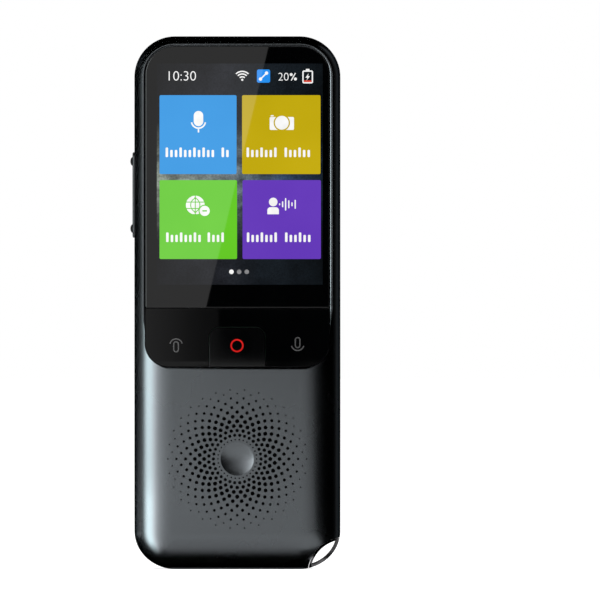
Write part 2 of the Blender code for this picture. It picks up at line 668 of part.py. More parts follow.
def make_shared_cutters():
    """What both shells are cut with: port, sound holes, side slot and the lanyard's seat."""
    port = end_profile("port_cut", [port_outline(FIT)], -OVERRUN, WALL + OVERRUN)
    hole = circle(LOWER_MIC_OFFSET, lower_mic_level(), SOUND_HOLE_RADIUS, SCREW_SIDES)
    lower = end_profile("lower_sound_hole", [hole], -OVERRUN, BOARD_BOTTOM)
    hole = circle(UPPER_MIC_OFFSET, upper_mic_level(), SOUND_HOLE_RADIUS, SCREW_SIDES)
    upper = end_profile("upper_sound_hole", [hole], BODY_LENGTH - WALL - OVERRUN, BODY_LENGTH + OVERRUN)
    inside = -HALF_WIDTH + WALL + OVERRUN
    side = side_profile("side_slot", rocker_outline(SIDE_GAP), -HALF_WIDTH - OVERRUN, inside)
    reach = FRONT + OVERRUN
    seat = drum("loop_seat", BITE_X, BITE_Y, LOOP_SEAT_RADIUS, -reach, reach, BITE_SIDES)
    base = block("base_cut", -BODY_WIDTH, BODY_WIDTH, -BODY_LENGTH, 0, -BODY_THICKNESS, BODY_THICKNESS)
    return [base, seat, port, side], lower, upper


def rocker_outline(grow=0.0):
    """The side rocker's long round outline, seen from the side."""
    half = ROCKER_LENGTH / 2 + grow
    return pill(ROCKER_MIDDLE - half, ROCKER_MIDDLE + half, 0, ROCKER_WIDTH / 2 + grow, SLOT_STEPS)


def lower_mic_level():
    """The level of the lower microphone's sound hole."""
    return BOARD_FRONT + FIT + MIC_THICKNESS / 2


def upper_mic_level():
    """The level of the upper microphone's sound hole."""
    return TOP_BOARD_BACK - FIT - MIC_THICKNESS / 2


def make_grille():
    """The cutter for the rosette: rings of holes that grow and shrink again, every other ring turned."""
    shape = bmesh.new()
    step = 2 * math.pi / GRILLE_HOLES_PER_RING
    for ring, share in enumerate(GRILLE_HOLE_SHARES):
        distance = GRILLE_FIRST_RADIUS + GRILLE_PITCH * ring
        start = step / 2 if ring % 2 == 0 else 0.0
        for index in range(GRILLE_HOLES_PER_RING):
            angle = math.pi / 2 + start + step * index
            x = distance * math.cos(angle)
            y = SPEAKER_HEIGHT + distance * math.sin(angle)
            add_drum(shape, x, y, GRILLE_LARGEST_HOLE * share / 2, INNER_FRONT - FIT, FRONT + FIT,
                     GRILLE_HOLE_SIDES, angle)
    return from_bmesh("grille_holes", shape)


def make_dimple():
    """The cutter for the round hollow in the middle of the rosette."""
    radius = (DIMPLE_RADIUS ** 2 + DIMPLE_DEPTH ** 2) / (2 * DIMPLE_DEPTH)
    sweep = math.asin(DIMPLE_RADIUS / radius)
    lift = OVERRUN / 4
    profile = [(DIMPLE_RADIUS + lift / 4, FRONT + lift)]
    for step in range(EDGE_STEPS, -1, -1):
        angle = sweep * step / EDGE_STEPS
        profile.append((radius * math.sin(angle), FRONT - DIMPLE_DEPTH + radius * (1 - math.cos(angle))))
    shape = bmesh.new()
    points = [shape.verts.new((distance, SPEAKER_HEIGHT, level)) for distance, level in profile]
    points.insert(0, shape.verts.new((0, SPEAKER_HEIGHT, FRONT + lift)))
    edges = [shape.edges.new(pair) for pair in zip(points, points[1:])]
    bmesh.ops.spin(shape, geom=points + edges, cent=(0, SPEAKER_HEIGHT, 0), axis=(0, 0, 1),
                   angle=2 * math.pi, steps=ROUND_SIDES, use_merge=True)
    bmesh.ops.remove_doubles(shape, verts=shape.verts, dist=WELD)
    return from_bmesh("dimple", shape)


def lip_outline(inset):
    """The housing's outline at its middle plane, inset, also from the base flat."""
    return rounded(-HALF_WIDTH + inset, HALF_WIDTH - inset, inset, BODY_LENGTH - inset,
                   CORNER_RADIUS - inset, steps=CORNER_STEPS)


def make_front_shell(finish, cavity, cutters, lower_hole):
    """The front moulding: rounded sides, screen opening, grille, dimple and a locating lip."""
    shell = pillow("front_shell", 0, finish)
    behind = block("behind_front", -BODY_WIDTH, BODY_WIDTH, -BODY_LENGTH, 2 * BODY_LENGTH,
                   -BODY_THICKNESS, PARTING_GAP / 2)
    cut(shell, behind)
    cut(shell, cavity)
    rest = FRONT + OVERRUN
    beyond = BODY_LENGTH + OVERRUN
    step = [(KEY_BOTTOM, rest)] + ramp_points(0, KEY_BOTTOM, KEY_TOP)
    step += [(beyond, DISPLAY_LEVEL), (beyond, rest)]
    cut(shell, side_profile("screen_step", step, -BODY_WIDTH, BODY_WIDTH))
    cut(shell, plate("glass_pocket", [opening_outline()], LEDGE_TOP, rest))
    window = rounded(LCD_LEFT - FIT, LCD_RIGHT + FIT, LCD_BOTTOM - FIT, LCD_TOP_EDGE + FIT, FIT)
    cut(shell, plate("lcd_window", [window], FRAME_TOP, rest - OVERRUN / 3))
    lip = plate("front_lip", [lip_outline(WALL - LIP_THICKNESS), lip_outline(WALL + OVERLAP)],
                -LIP_DEPTH, WALL)
    fuse(shell, lip)
    for cutter in cutters:
        cut(shell, cutter)
    cut(shell, lower_hole)
    cut(shell, make_grille())
    cut(shell, make_dimple())
    return shell


def screw_places():
    """Where the housing screws stand."""
    return [(side * SCREW_X, height) for height in (LOW_SCREW_HEIGHT, HIGH_SCREW_HEIGHT) for side in (-1, 1)]


def board_screw_places():
    """Where the camera board's screws stand."""
    return [(side * BOARD_SCREW_OFFSET, BOARD_SCREW_HEIGHT) for side in (-1, 1)]


def screw_holes(places):
    """The outlines of the holes that screws pass through."""
    return [circle(x, y, SCREW_RADIUS + FIT, SCREW_SIDES) for x, y in places]


def make_back_shell(finish, cavity, cutters, upper_hole):
    """The back moulding: rounded sides, camera pocket, screw bosses and a rebate for the lip."""
    shell = pillow("back_shell", 0, finish)
    before = block("before_back", -BODY_WIDTH, BODY_WIDTH, -BODY_LENGTH, 2 * BODY_LENGTH,
                   -PARTING_GAP / 2, BODY_THICKNESS)
    cut(shell, before)
    cut(shell, cavity)
    rebate = plate("lip_rebate", [lip_outline(WALL - LIP_THICKNESS - FIT)], -LIP_DEPTH - FIT, FRONT)
    cut(shell, rebate)
    bosses = bmesh.new()
    for x, y in screw_places():
        add_drum(bosses, x, y, BOSS_RADIUS, INNER_BACK - WALL / 2, BOARD_BACK - FIT, BOSS_SIDES)
    fuse(shell, from_bmesh("back_bosses", bosses))
    holes = bmesh.new()
    for x, y in screw_places():
        add_drum(holes, x, y, SCREW_RADIUS + FIT, INNER_BACK, FRONT, SCREW_SIDES)
    cut(shell, from_bmesh("boss_holes", holes))
    for cutter in cutters:
        cut(shell, cutter)
    cut(shell, upper_hole)
    pocket = plate_outline(FIT / 2)
    cut(shell, plate("camera_pocket", [pocket], -FRONT - OVERRUN, -FRONT + PLATE_POCKET))
    eyes = bmesh.new()
    for x, radius in ((CAMERA_OFFSET, CAMERA_BARREL_RADIUS), (FLASH_OFFSET, FLASH_RADIUS)):
        add_drum(eyes, x, CAMERA_HEIGHT, radius + FIT, -FRONT, INNER_BACK + OVERRUN, SMALL_SIDES)
    cut(shell, from_bmesh("camera_holes", eyes))
    return shell


def make_mid_frame(finish):
    """The chassis plate between screen and battery, with standoffs and rests for the boards."""
    inset = WALL + FIT + LIP_THICKNESS
    side = HALF_WIDTH - inset
    outline = rounded(-side, side, FRAME_BOTTOM, BODY_LENGTH - inset, BOARD_CORNER)
    magnet_hole = circle(0, SPEAKER_HEIGHT, MAGNET_RADIUS + FIT, ROUND_SIDES)
    flex_slot = rounded(-LCD_FLEX_WIDTH / 2 - FIT, LCD_FLEX_WIDTH / 2 + FIT,
                        FLEX_DROP_HEIGHT - FIT, FLEX_DROP_HEIGHT + LCD_FLEX_THICKNESS + FIT, FIT / 2)
    outlines = [outline, magnet_hole, flex_slot] + screw_holes(screw_places() + board_screw_places())
    frame = plate("mid_frame", outlines, FRAME_BACK, FRAME_TOP, finish)
    reach = max(SIDE_FLEX_HALF_LENGTH, ROCKER_FLANGE_LENGTH / 2) + FIT
    notch = block("side_notch", -BODY_WIDTH, FRAME_NOTCH_X, ROCKER_MIDDLE - reach, ROCKER_MIDDLE + reach,
                  FRAME_BACK - OVERRUN, FRAME_TOP + OVERRUN)
    cut(frame, notch)
    root = FRAME_BACK + FRAME_THICKNESS / 3
    for index, (x, y) in enumerate(screw_places()):
        ring = [circle(x, y, BOSS_RADIUS, BOSS_SIDES)] + screw_holes([(x, y)])
        fuse(frame, plate("standoff_" + str(index), ring, FRAME_BACK - STANDOFF, root))
    rests = bmesh.new()
    for side in (-1, 1):
        edge = side * (KEY_BOARD_WIDTH / 2 - KEY_REST_WIDTH)
        add_block(rests, min(edge, edge + side * KEY_REST_WIDTH), max(edge, edge + side * KEY_REST_WIDTH),
                  KEY_BOTTOM + 2 * KEY_SKIN, KEY_TOP - KEY_SKIN, FRAME_TOP - FRAME_THICKNESS / 3,
                  KEY_BOARD_BACK - FIT)
    fuse(frame, from_bmesh("key_rests", rests))
    return frame


def make_display(finish):
    """Cover glass, LCD cell, backlight and the flex that leaves their lower edge."""
    cover = opening_outline(-SEAM_GAP, SEAM_HEIGHT - SEAM_GAP / 2, OPENING_TOP, SEAM_GAP + KEY_EDGE)
    glass = plate("screen_glass", [cover], GLASS_BACK, GLASS_TOP, finish["black_glass"])
    soften(glass, GLASS_CHAMFER)
    cell = (LCD_LEFT, LCD_RIGHT, LCD_BOTTOM, LCD_TOP_EDGE)
    block("lcd_panel", *cell, LCD_BACK, LEDGE_TOP, finish["lcd"])
    block("backlight", *cell, LIGHT_BACK, LIGHT_TOP, finish["diffuser"])
    drop = FLEX_DROP_HEIGHT
    level = (LIGHT_BACK + LIGHT_TOP) / 2
    foot = BOARD_FRONT + FIT
    thick = LCD_FLEX_THICKNESS
    points = [(LCD_BOTTOM - FIT, level), (LCD_BOTTOM - FIT, level + thick), (drop, level + thick),
              (drop, foot + thick), (FLEX_FOOT_HEIGHT, foot + thick), (FLEX_FOOT_HEIGHT, foot),
              (drop + thick, foot), (drop + thick, level)]
    side_profile("lcd_flex", points, -LCD_FLEX_WIDTH / 2, LCD_FLEX_WIDTH / 2, finish["flex"])


def make_talk_rocker(finish):
    """The ramped key plate round the home button: one moulding that rocks to its left or right key."""
    profile = [(KEY_TOP, SKIRT_LEVEL), (KEY_BOTTOM, SKIRT_LEVEL)] + ramp_points(0, KEY_BOTTOM, KEY_TOP)
    rocker = side_profile("talk_rocker", profile, -BODY_WIDTH / 2, BODY_WIDTH / 2, finish)
    outline = rounded(-GLASS_HALF_WIDTH, GLASS_HALF_WIDTH, KEY_BOTTOM, KEY_TOP,
                      OPENING_LOW_RADIUS - SEAM_GAP, KEY_EDGE)
    keep_common(rocker, plate("rocker_outline", [outline], 0, FRONT + OVERRUN))
    cut(rocker, plate("home_slot", [home_outline(SEAM_GAP)], 0, FRONT + OVERRUN))
    slot_foot = rounded(-HOME_WIDTH / 2 - SEAM_GAP, HOME_WIDTH / 2 + SEAM_GAP, KEY_BOTTOM - OVERRUN,
                        KEY_BOTTOM + HOME_HEIGHT / 2, KEY_EDGE)
    cut(rocker, plate("home_slot_foot", [slot_foot], -FIT, FRONT + 2 * OVERRUN))
    inner_half = GLASS_HALF_WIDTH - KEY_SKIN
    inner_home = HOME_WIDTH / 2 + SEAM_GAP + KEY_SKIN
    hollow_top = HOME_TOP + SEAM_GAP + KEY_SKIN
    for side in (-1, 1):
        edges = sorted((side * inner_home, side * inner_half))
        hollow = ramp_points(0, KEY_BOTTOM + KEY_SKIN, hollow_top, KEY_SKIN)
        hollow = [(hollow_top, 0), (KEY_BOTTOM + KEY_SKIN, 0)] + hollow
        core = side_profile("key_hollow_" + str(side + 1), hollow, *edges)
        round_off = rounded(edges[0], edges[1], KEY_BOTTOM + KEY_SKIN, hollow_top, OPENING_LOW_RADIUS / 2)
        keep_common(core, plate("key_hollow_plan_" + str(side + 1), [round_off], -FIT, FRONT))
        cut(rocker, core)
        nub = drum("key_nub_" + str(side + 1), side * TALK_KEY_OFFSET, KEY_ROW_HEIGHT, KEY_NUB_RADIUS,
                   NUB_TIP, ramp_level(KEY_ROW_HEIGHT) - KEY_SKIN / 2, BOSS_SIDES)
        fuse(rocker, nub)
        edges = sorted((side * RETAINER_INNER, side * RETAINER_OUTER))
        top = INNER_FRONT - RETAINER_DROP
        retainer = block("retainer_" + str(side + 1), edges[0], edges[1], KEY_BOTTOM - RETAINER_REACH,
                         KEY_BOTTOM + KEY_SKIN / 2, top - RETAINER_THICKNESS, top)
        fuse(rocker, retainer)
    half = HOME_WIDTH / 2 + HOME_TAB_REACH + FIT
    low = KEY_BOTTOM + KEY_SKIN - FIT
    room = block("home_tab_room", -half, half, low, low + HOME_TAB_LENGTH + 2 * FIT, -FIT,
                 HOME_TAB_BACK + HOME_TAB_THICKNESS + HOME_TAB_ROOM)
    cut(rocker, room)
    rib = block("pivot_rib", -PIVOT_RIB_WIDTH / 2, PIVOT_RIB_WIDTH / 2, hollow_top, KEY_TOP - KEY_SKIRT,
                SWITCH_BACK, SKIRT_LEVEL + KEY_SKIN / 2)
    fuse(rocker, rib)
    put_origin(rocker, 0, (KEY_TOP + KEY_BOTTOM) / 2, SWITCH_BACK)
    return rocker


def make_home_button(finish):
    """The home button: a ramped cap with a plunger over its switch."""
    foot = NUB_TIP + HOME_TRAVEL
    profile = ramp_points(HOME_PROUD, KEY_BOTTOM, HOME_TOP)
    profile = [(HOME_TOP, foot), (KEY_BOTTOM, foot)] + profile
    button = side_profile("home_button", profile, -HOME_WIDTH, HOME_WIDTH, finish)
    keep_common(button, plate("button_outline", [home_outline()], 0, FRONT + OVERRUN))
    soften(button, KEY_EDGE, 2)
    half = HOME_WIDTH / 2 + HOME_TAB_REACH
    low = KEY_BOTTOM + KEY_SKIN
    tabs = block("home_tabs", -half, half, low, low + HOME_TAB_LENGTH, HOME_TAB_BACK,
                 HOME_TAB_BACK + HOME_TAB_THICKNESS)
    fuse(button, tabs)
    root = foot + KEY_SKIN / 2
    fuse(button, drum("home_plunger", 0, KEY_ROW_HEIGHT, KEY_NUB_RADIUS, NUB_TIP, root, BOSS_SIDES))
    put_origin(button, 0, KEY_ROW_HEIGHT, ramp_level(KEY_ROW_HEIGHT))
    return button


def make_key_board(finish):
    """The small board under the keys and its three dome switches."""
    outline = rounded(-KEY_BOARD_WIDTH / 2, KEY_BOARD_WIDTH / 2, KEY_BOTTOM + KEY_SKIN, KEY_TOP - KEY_SKIN,
                      OPENING_LOW_RADIUS / 2, KEY_EDGE, steps=3)
    plate("key_board", [outline], KEY_BOARD_BACK, KEY_BOARD_FRONT, finish["board"])
    for name, x in (("left", -TALK_KEY_OFFSET), ("home", 0), ("right", TALK_KEY_OFFSET)):
        dome = bmesh.new()
        add_drum(dome, x, KEY_ROW_HEIGHT, SWITCH_RADIUS, SWITCH_BACK, SWITCH_TOP, SMALL_SIDES,
                 top_radius=SWITCH_RADIUS - SWITCH_HEIGHT)
        from_bmesh("key_switch_" + name, dome, finish["steel"])


def make_side_rocker(finish):
    """The rocker in the left side, its two rubber studs, and the switches behind it."""
    rocker = side_profile("volume_rocker", rocker_outline(), ROCKER_FACE_X, ROCKER_FLANGE_IN_X - FIT / 2,
                          finish["side_key"])
    soften(rocker, KEY_EDGE)
    half_flange = ROCKER_FLANGE_LENGTH / 2
    half_depth = ROCKER_FLANGE_WIDTH / 2
    flange = rounded(ROCKER_MIDDLE - half_flange, ROCKER_MIDDLE + half_flange, -half_depth, half_depth,
                     KEY_EDGE, steps=1)
    fuse(rocker, side_profile("rocker_flange", flange, ROCKER_FLANGE_OUT_X, ROCKER_FLANGE_IN_X))
    seats = bmesh.new()
    nubs = bmesh.new()
    root = ROCKER_FLANGE_IN_X - FIT / 2
    half_nub = KEY_NUB_RADIUS / 2
    lay = Matrix.Rotation(math.radians(-90), 4, "Y")
    for name, end in (("down", -1), ("up", 1)):
        y = ROCKER_MIDDLE + end * STUD_SPACING / 2
        pit = ROCKER_FACE_X + ROCKER_PROUD + FIT
        depth = ROCKER_FACE_X - OVERRUN
        middle = Matrix.Translation(((pit + depth) / 2, y, 0)) @ lay
        bmesh.ops.create_cone(seats, cap_ends=True, segments=BOSS_SIDES, radius1=STUD_RADIUS + FIT / 3,
                              radius2=STUD_RADIUS + FIT / 3, depth=pit - depth, matrix=middle)
        stud = make_stud("volume_stud_" + name, y, pit - FIT / 3, finish["rubber"])
        put_origin(stud, ROCKER_FLANGE_OUT_X, ROCKER_MIDDLE, 0)
        block("volume_switch_" + name, SIDE_SWITCH_X, SIDE_SWITCH_X + SIDE_SWITCH_THICKNESS,
              y - SIDE_SWITCH_LENGTH / 2, y + SIDE_SWITCH_LENGTH / 2, -SIDE_SWITCH_WIDTH / 2,
              SIDE_SWITCH_WIDTH / 2, finish["plastic"])
        add_block(nubs, root, SIDE_NUB_X, y - half_nub, y + half_nub, -half_nub, half_nub)
    add_block(nubs, root, SIDE_FLEX_X - FIT, ROCKER_MIDDLE - half_nub / 2, ROCKER_MIDDLE + half_nub / 2,
              -half_nub, half_nub)
    cut(rocker, from_bmesh("stud_seats", seats))
    fuse(rocker, from_bmesh("side_nubs", nubs))
    put_origin(rocker, ROCKER_FLANGE_OUT_X, ROCKER_MIDDLE, 0)
    block("volume_flex", SIDE_FLEX_X, SIDE_FLEX_X + SIDE_FLEX_THICKNESS,
          ROCKER_MIDDLE - SIDE_FLEX_HALF_LENGTH, ROCKER_MIDDLE + SIDE_FLEX_HALF_LENGTH,
          -SIDE_FLEX_WIDTH / 2, SIDE_FLEX_WIDTH / 2, finish["flex"])


def make_stud(name, y, foot, finish):
    """One domed stud that stands out to the left: rings that shrink towards its tip, bridged and capped."""
    shape = bmesh.new()
    tip = -HALF_WIDTH - STUD_PROUD
    shoulder = tip + STUD_RADIUS / 2
    lay = Matrix.Rotation(math.radians(-90), 4, "Y")
    rings = [(foot, 1.0), (shoulder, 1.0)]
    rings += [(shoulder + (tip - shoulder) * math.sin(math.radians(angle)), math.cos(math.radians(angle)))
              for angle in (30, 60)]
    loops = []
    for x, share in rings:
        made = bmesh.ops.create_circle(shape, segments=BOSS_SIDES, radius=STUD_RADIUS * share,
                                       matrix=Matrix.Translation((x, y, 0)) @ lay)
        loops.append(made["verts"])
    for lower, upper in zip(loops, loops[1:]):
        for index in range(BOSS_SIDES):
            after = (index + 1) % BOSS_SIDES
            shape.faces.new((lower[index], lower[after], upper[after], upper[index]))
    shape.faces.new(list(reversed(loops[0])))
    shape.faces.new(loops[-1])
    return from_bmesh(name, shape, finish)


def make_speaker(finish):
    """Dust mesh, gasket, basket, cone and magnet, stacked behind the grille."""
    mesh_top = INNER_FRONT - FIT
    mesh_back = mesh_top - MESH_THICKNESS
    gasket_top = mesh_back - FIT
    gasket_back = gasket_top - GASKET_THICKNESS
    drum("speaker_mesh", 0, SPEAKER_HEIGHT, MESH_RADIUS, mesh_back, mesh_top, ROUND_SIDES, finish["foam"])
    ring = [circle(0, SPEAKER_HEIGHT, SPEAKER_RADIUS, ROUND_SIDES),
            circle(0, SPEAKER_HEIGHT, SPEAKER_RADIUS - GASKET_WIDTH, ROUND_SIDES)]
    plate("speaker_gasket", ring, gasket_back, gasket_top, finish["foam"])
    rim_top = gasket_back - FIT
    rim_back = rim_top - SPEAKER_RIM
    floor = FRAME_TOP + FIT
    inner = BASKET_RADIUS - BASKET_WALL
    rim_inner = SPEAKER_RADIUS - GASKET_WIDTH
    basket = [(SPEAKER_RADIUS, rim_top), (SPEAKER_RADIUS, rim_back), (BASKET_RADIUS, rim_back),
              (BASKET_RADIUS, floor), (MAGNET_RADIUS / 2, floor), (MAGNET_RADIUS / 2, floor + BASKET_WALL),
              (inner, floor + BASKET_WALL), (inner, rim_back), (rim_inner, rim_back + BASKET_WALL / 2),
              (rim_inner, rim_top), (SPEAKER_RADIUS, rim_top)]
    turned("speaker_frame", basket, 0, SPEAKER_HEIGHT, ROUND_SIDES, finish["plastic"])
    edge = rim_inner - FIT
    fold = inner - FIT
    high = rim_top - FIT
    low = high - CONE_DEPTH
    thick = CONE_THICKNESS
    cone = [(edge, high), (edge, high - thick), (fold, high - thick), (CONE_DOME_RADIUS, low - thick),
            (CONE_DOME_RADIUS / 2, low + thick), (0, low + 2 * thick), (0, low + 3 * thick),
            (CONE_DOME_RADIUS / 2, low + 2 * thick), (CONE_DOME_RADIUS, low), (fold, high), (edge, high)]
    turned("speaker_cone", cone, 0, SPEAKER_HEIGHT, SMALL_SIDES, finish["paper"])
    drum("speaker_magnet", 0, SPEAKER_HEIGHT, MAGNET_RADIUS, BOARD_FRONT + MAGNET_GAP_TO_BOARD, FRAME_TOP,
         ROUND_SIDES, finish["steel"])


def make_boards(finish):
    """The main board, the camera board, the flex that links them, and the shield can."""
    side = HALF_WIDTH - BOARD_SIDE_INSET
    outlines = [rounded(-side, side, BOARD_BOTTOM, BOARD_TOP_EDGE, BOARD_CORNER, WALL)]
    outlines += screw_holes(screw_places())
    board = plate("main_board", outlines, BOARD_BACK, BOARD_FRONT, finish["board"])
    cut(board, drum("loop_clearance", BITE_X, BITE_Y, LOOP_WALL_RADIUS + FIT, -FRONT, FRONT, ROUND_SIDES))
    side = HALF_WIDTH - TOP_BOARD_SIDE_INSET
    top = BODY_LENGTH - TOP_BOARD_SIDE_INSET
    outlines = [rounded(-side, side, TOP_BOARD_BOTTOM, top, WALL, BOARD_CORNER)]
    outlines += screw_holes(board_screw_places())
    plate("camera_board", outlines, TOP_BOARD_BACK, TOP_BOARD_FRONT, finish["board"])
    can = rounded(CAN_MIDDLE_X - CAN_WIDTH / 2, CAN_MIDDLE_X + CAN_WIDTH / 2, CAN_MIDDLE_Y - CAN_HEIGHT / 2,
                  CAN_MIDDLE_Y + CAN_HEIGHT / 2, WALL / 2, steps=2)
    plate("shield_can", [can], BOARD_FRONT + FIT, BOARD_FRONT + FIT + CAN_THICKNESS, finish["steel"])


def make_link(finish):
    """The flex that runs behind the battery from the main board to the camera board."""
    back = INNER_BACK + FIT
    front = back + LINK_THICKNESS
    low = BOARD_TOP_EDGE - LINK_CONTACT
    high = TOP_BOARD_BOTTOM + WALL + LINK_CONTACT
    foot = BOARD_BACK - FIT
    head = TOP_BOARD_BACK - FIT
    thick = LINK_THICKNESS
    dip = BATTERY_BOTTOM - FIT
    climb = BATTERY_TOP + FIT
    bend = TOP_BOARD_BOTTOM + WALL
    points = [(low, foot - thick), (BOARD_TOP_EDGE, foot - thick), (dip, back), (climb, back),
              (bend, head - thick), (high, head - thick), (high, head), (bend - thick, head),
              (climb - thick, front), (dip + thick, front), (BOARD_TOP_EDGE + thick, foot), (low, foot)]
    side_profile("link_flex", points, LINK_OFFSET - LINK_WIDTH / 2, LINK_OFFSET + LINK_WIDTH / 2, finish)


def make_battery(finish):
    """The flat cell, its two leads and the plug on the main board."""
    back = INNER_BACK + 2 * FIT + LINK_THICKNESS
    cell = block("battery_cell", -BATTERY_WIDTH / 2, BATTERY_WIDTH / 2, BATTERY_BOTTOM, BATTERY_TOP, back,
                 FRAME_BACK - FIT, finish["foil"])
    soften(cell, BATTERY_EDGE, 2)
    low = BOARD_TOP_EDGE - FIT - PLUG_HEIGHT
    plug_back = BOARD_FRONT + FIT
    block("battery_plug", PLUG_OFFSET - PLUG_WIDTH / 2, PLUG_OFFSET + PLUG_WIDTH / 2, low, low + PLUG_HEIGHT,
          plug_back, plug_back + PLUG_THICKNESS, finish["plastic"])
    level = plug_back + PLUG_THICKNESS / 2
    for name, side in (("minus", -1), ("plus", 1)):
        wire = circle(PLUG_OFFSET + side * LEAD_SPACING / 2, level, LEAD_RADIUS, SCREW_SIDES)
        end_profile("battery_lead_" + name, [wire], low + PLUG_HEIGHT + FIT, BATTERY_BOTTOM - FIT,
                    finish["rubber"])


def plate_outline(grow=0.0):
    """The camera plate's long round outline."""
    side = PLATE_WIDTH / 2 + grow
    return pill(-side, side, CAMERA_HEIGHT, PLATE_HEIGHT / 2 + grow, PLATE_STEPS)


def make_camera(finish):
    """The raised plate on the back with its camera window, ring and light, and what lies behind them."""
    face = -FRONT - PLATE_PROUD
    seat = -FRONT + PLATE_POCKET - FIT
    camera_hole = circle(CAMERA_OFFSET, CAMERA_HEIGHT, CAMERA_RING_RADIUS + FIT / 2, ROUND_SIDES)
    flash_hole = circle(FLASH_OFFSET, CAMERA_HEIGHT, FLASH_RADIUS + FIT / 2, SMALL_SIDES)
    plate("camera_plate", [plate_outline(), camera_hole, flash_hole], face, seat, finish["black_glass"])
    inner = CAMERA_RING_RADIUS - CAMERA_RING_WIDTH
    lip = PLATE_PROUD / 2
    ring = [(CAMERA_RING_RADIUS, seat), (CAMERA_RING_RADIUS, face + lip), (CAMERA_RING_RADIUS - lip, face),
            (inner + lip, face), (inner, face + lip), (inner, seat), (CAMERA_RING_RADIUS, seat)]
    turned("camera_ring", ring, CAMERA_OFFSET, CAMERA_HEIGHT, ROUND_SIDES, finish["chrome"])
    window_front = face + CAMERA_WINDOW_RECESS
    window_back = window_front + CAMERA_WINDOW_THICKNESS
    drum("camera_window", CAMERA_OFFSET, CAMERA_HEIGHT, inner - FIT / 2, window_front, window_back,
         ROUND_SIDES, finish["clear"])
    half = CAMERA_SIZE / 2
    body_back = INNER_BACK + FIT
    module = block("camera_module", CAMERA_OFFSET - half, CAMERA_OFFSET + half, CAMERA_HEIGHT - half,
                   CAMERA_HEIGHT + half, body_back, TOP_BOARD_BACK - FIT, finish["plastic"])
    barrel = drum("camera_barrel", CAMERA_OFFSET, CAMERA_HEIGHT, CAMERA_BARREL_RADIUS, window_back + FIT,
                  body_back + WALL, SMALL_SIDES)
    fuse(module, barrel)
    led_front = TOP_BOARD_BACK - FIT
    led_back = led_front - FLASH_LED_THICKNESS
    drum("flash_pipe", FLASH_OFFSET, CAMERA_HEIGHT, FLASH_RADIUS, window_front, led_back - FIT, SMALL_SIDES,
         finish["diffuser"])
    half = FLASH_LED_SIZE / 2
    block("flash_led", FLASH_OFFSET - half, FLASH_OFFSET + half, CAMERA_HEIGHT - half, CAMERA_HEIGHT + half,
          led_back, led_front, finish["diode"])


def make_port(finish):
    """The charging port's shell and tongue."""
    end_profile("usb_shell", [port_outline(), port_outline(-USB_WALL)], USB_RECESS, PORT_TOP, finish["steel"])
    half = TONGUE_WIDTH / 2
    tongue = block("usb_tongue", -half, half, 2 * USB_RECESS, PORT_TOP, PORT_LEVEL - TONGUE_THICKNESS / 2,
                   PORT_LEVEL + TONGUE_THICKNESS / 2, finish["plastic"])
    root = USB_THICKNESS / 2 - USB_WALL - FIT
    fuse(tongue, block("tongue_root", -half, half, PORT_TOP - USB_DEPTH / 4, PORT_TOP - TONGUE_ROOT_INSET,
                       PORT_LEVEL - root, PORT_LEVEL + root))


def make_microphones(finish):
    """The two microphones behind their sound holes."""
    half = MIC_WIDTH / 2
    low = BOARD_FRONT + FIT
    bottom = BOARD_BOTTOM + FIT
    block("lower_microphone", LOWER_MIC_OFFSET - half, LOWER_MIC_OFFSET + half, bottom, bottom + MIC_HEIGHT,
          low, low + MIC_THICKNESS, finish)
    high = TOP_BOARD_BACK - FIT
    top = BODY_LENGTH - TOP_BOARD_SIDE_INSET - FIT
    block("upper_microphone", UPPER_MIC_OFFSET - half, UPPER_MIC_OFFSET + half, top - MIC_HEIGHT, top,
          high - MIC_THICKNESS, high, finish)


def make_aerial(finish):
    """The aerial strip along the right wall."""
    outer = HALF_WIDTH - WALL - 2 * FIT
    block("aerial_strip", outer - AERIAL_THICKNESS, outer, AERIAL_BOTTOM, AERIAL_BOTTOM + AERIAL_HEIGHT,
          FRAME_BACK - FIT - AERIAL_WIDTH, FRAME_BACK - FIT, finish)


def make_lanyard_loop(finish, base):
    """The metal insert in the corner: an eye-shaped liner and the bar that a cord is tied round."""
    loop = pillow("lanyard_loop", 0, finish)
    outside = BITE_RADIUS + LOOP_LINER
    keep_common(loop, drum("liner_outside", BITE_X, BITE_Y, outside, -FRONT, FRONT, BITE_SIDES))
    cut(loop, drum("bite", BITE_X, BITE_Y, BITE_RADIUS, -BODY_THICKNESS, BODY_THICKNESS, BITE_SIDES))
    centre_x = HALF_WIDTH - CORNER_RADIUS
    centre_y = CORNER_RADIUS - BASE_CUT
    distance = math.hypot(BITE_X - centre_x, BITE_Y - centre_y)
    towards = math.degrees(math.atan2(BITE_Y - centre_y, BITE_X - centre_x))
    outer = CORNER_RADIUS - LOOP_GAP / 4
    reach = (outer ** 2 + distance ** 2 - BITE_RADIUS ** 2) / (2 * outer * distance)
    spread = math.degrees(math.acos(reach)) + LOOP_BAR_OVERLAP_DEGREES
    bar = arc(centre_x, centre_y, outer, towards - spread, towards + spread, BAR_STEPS)
    bar += arc(centre_x, centre_y, outer - LOOP_BAR_THICKNESS, towards + spread, towards - spread, BAR_STEPS)
    bar = plate("loop_bar", [bar], -LOOP_BAR_WIDTH / 2, LOOP_BAR_WIDTH / 2)
    keep_common(bar, drum("bar_end", BITE_X, BITE_Y, BITE_RADIUS + LOOP_LINER / 2, -FRONT, FRONT, BITE_SIDES))
    fuse(loop, bar)
    cut(loop, base)
    return loop


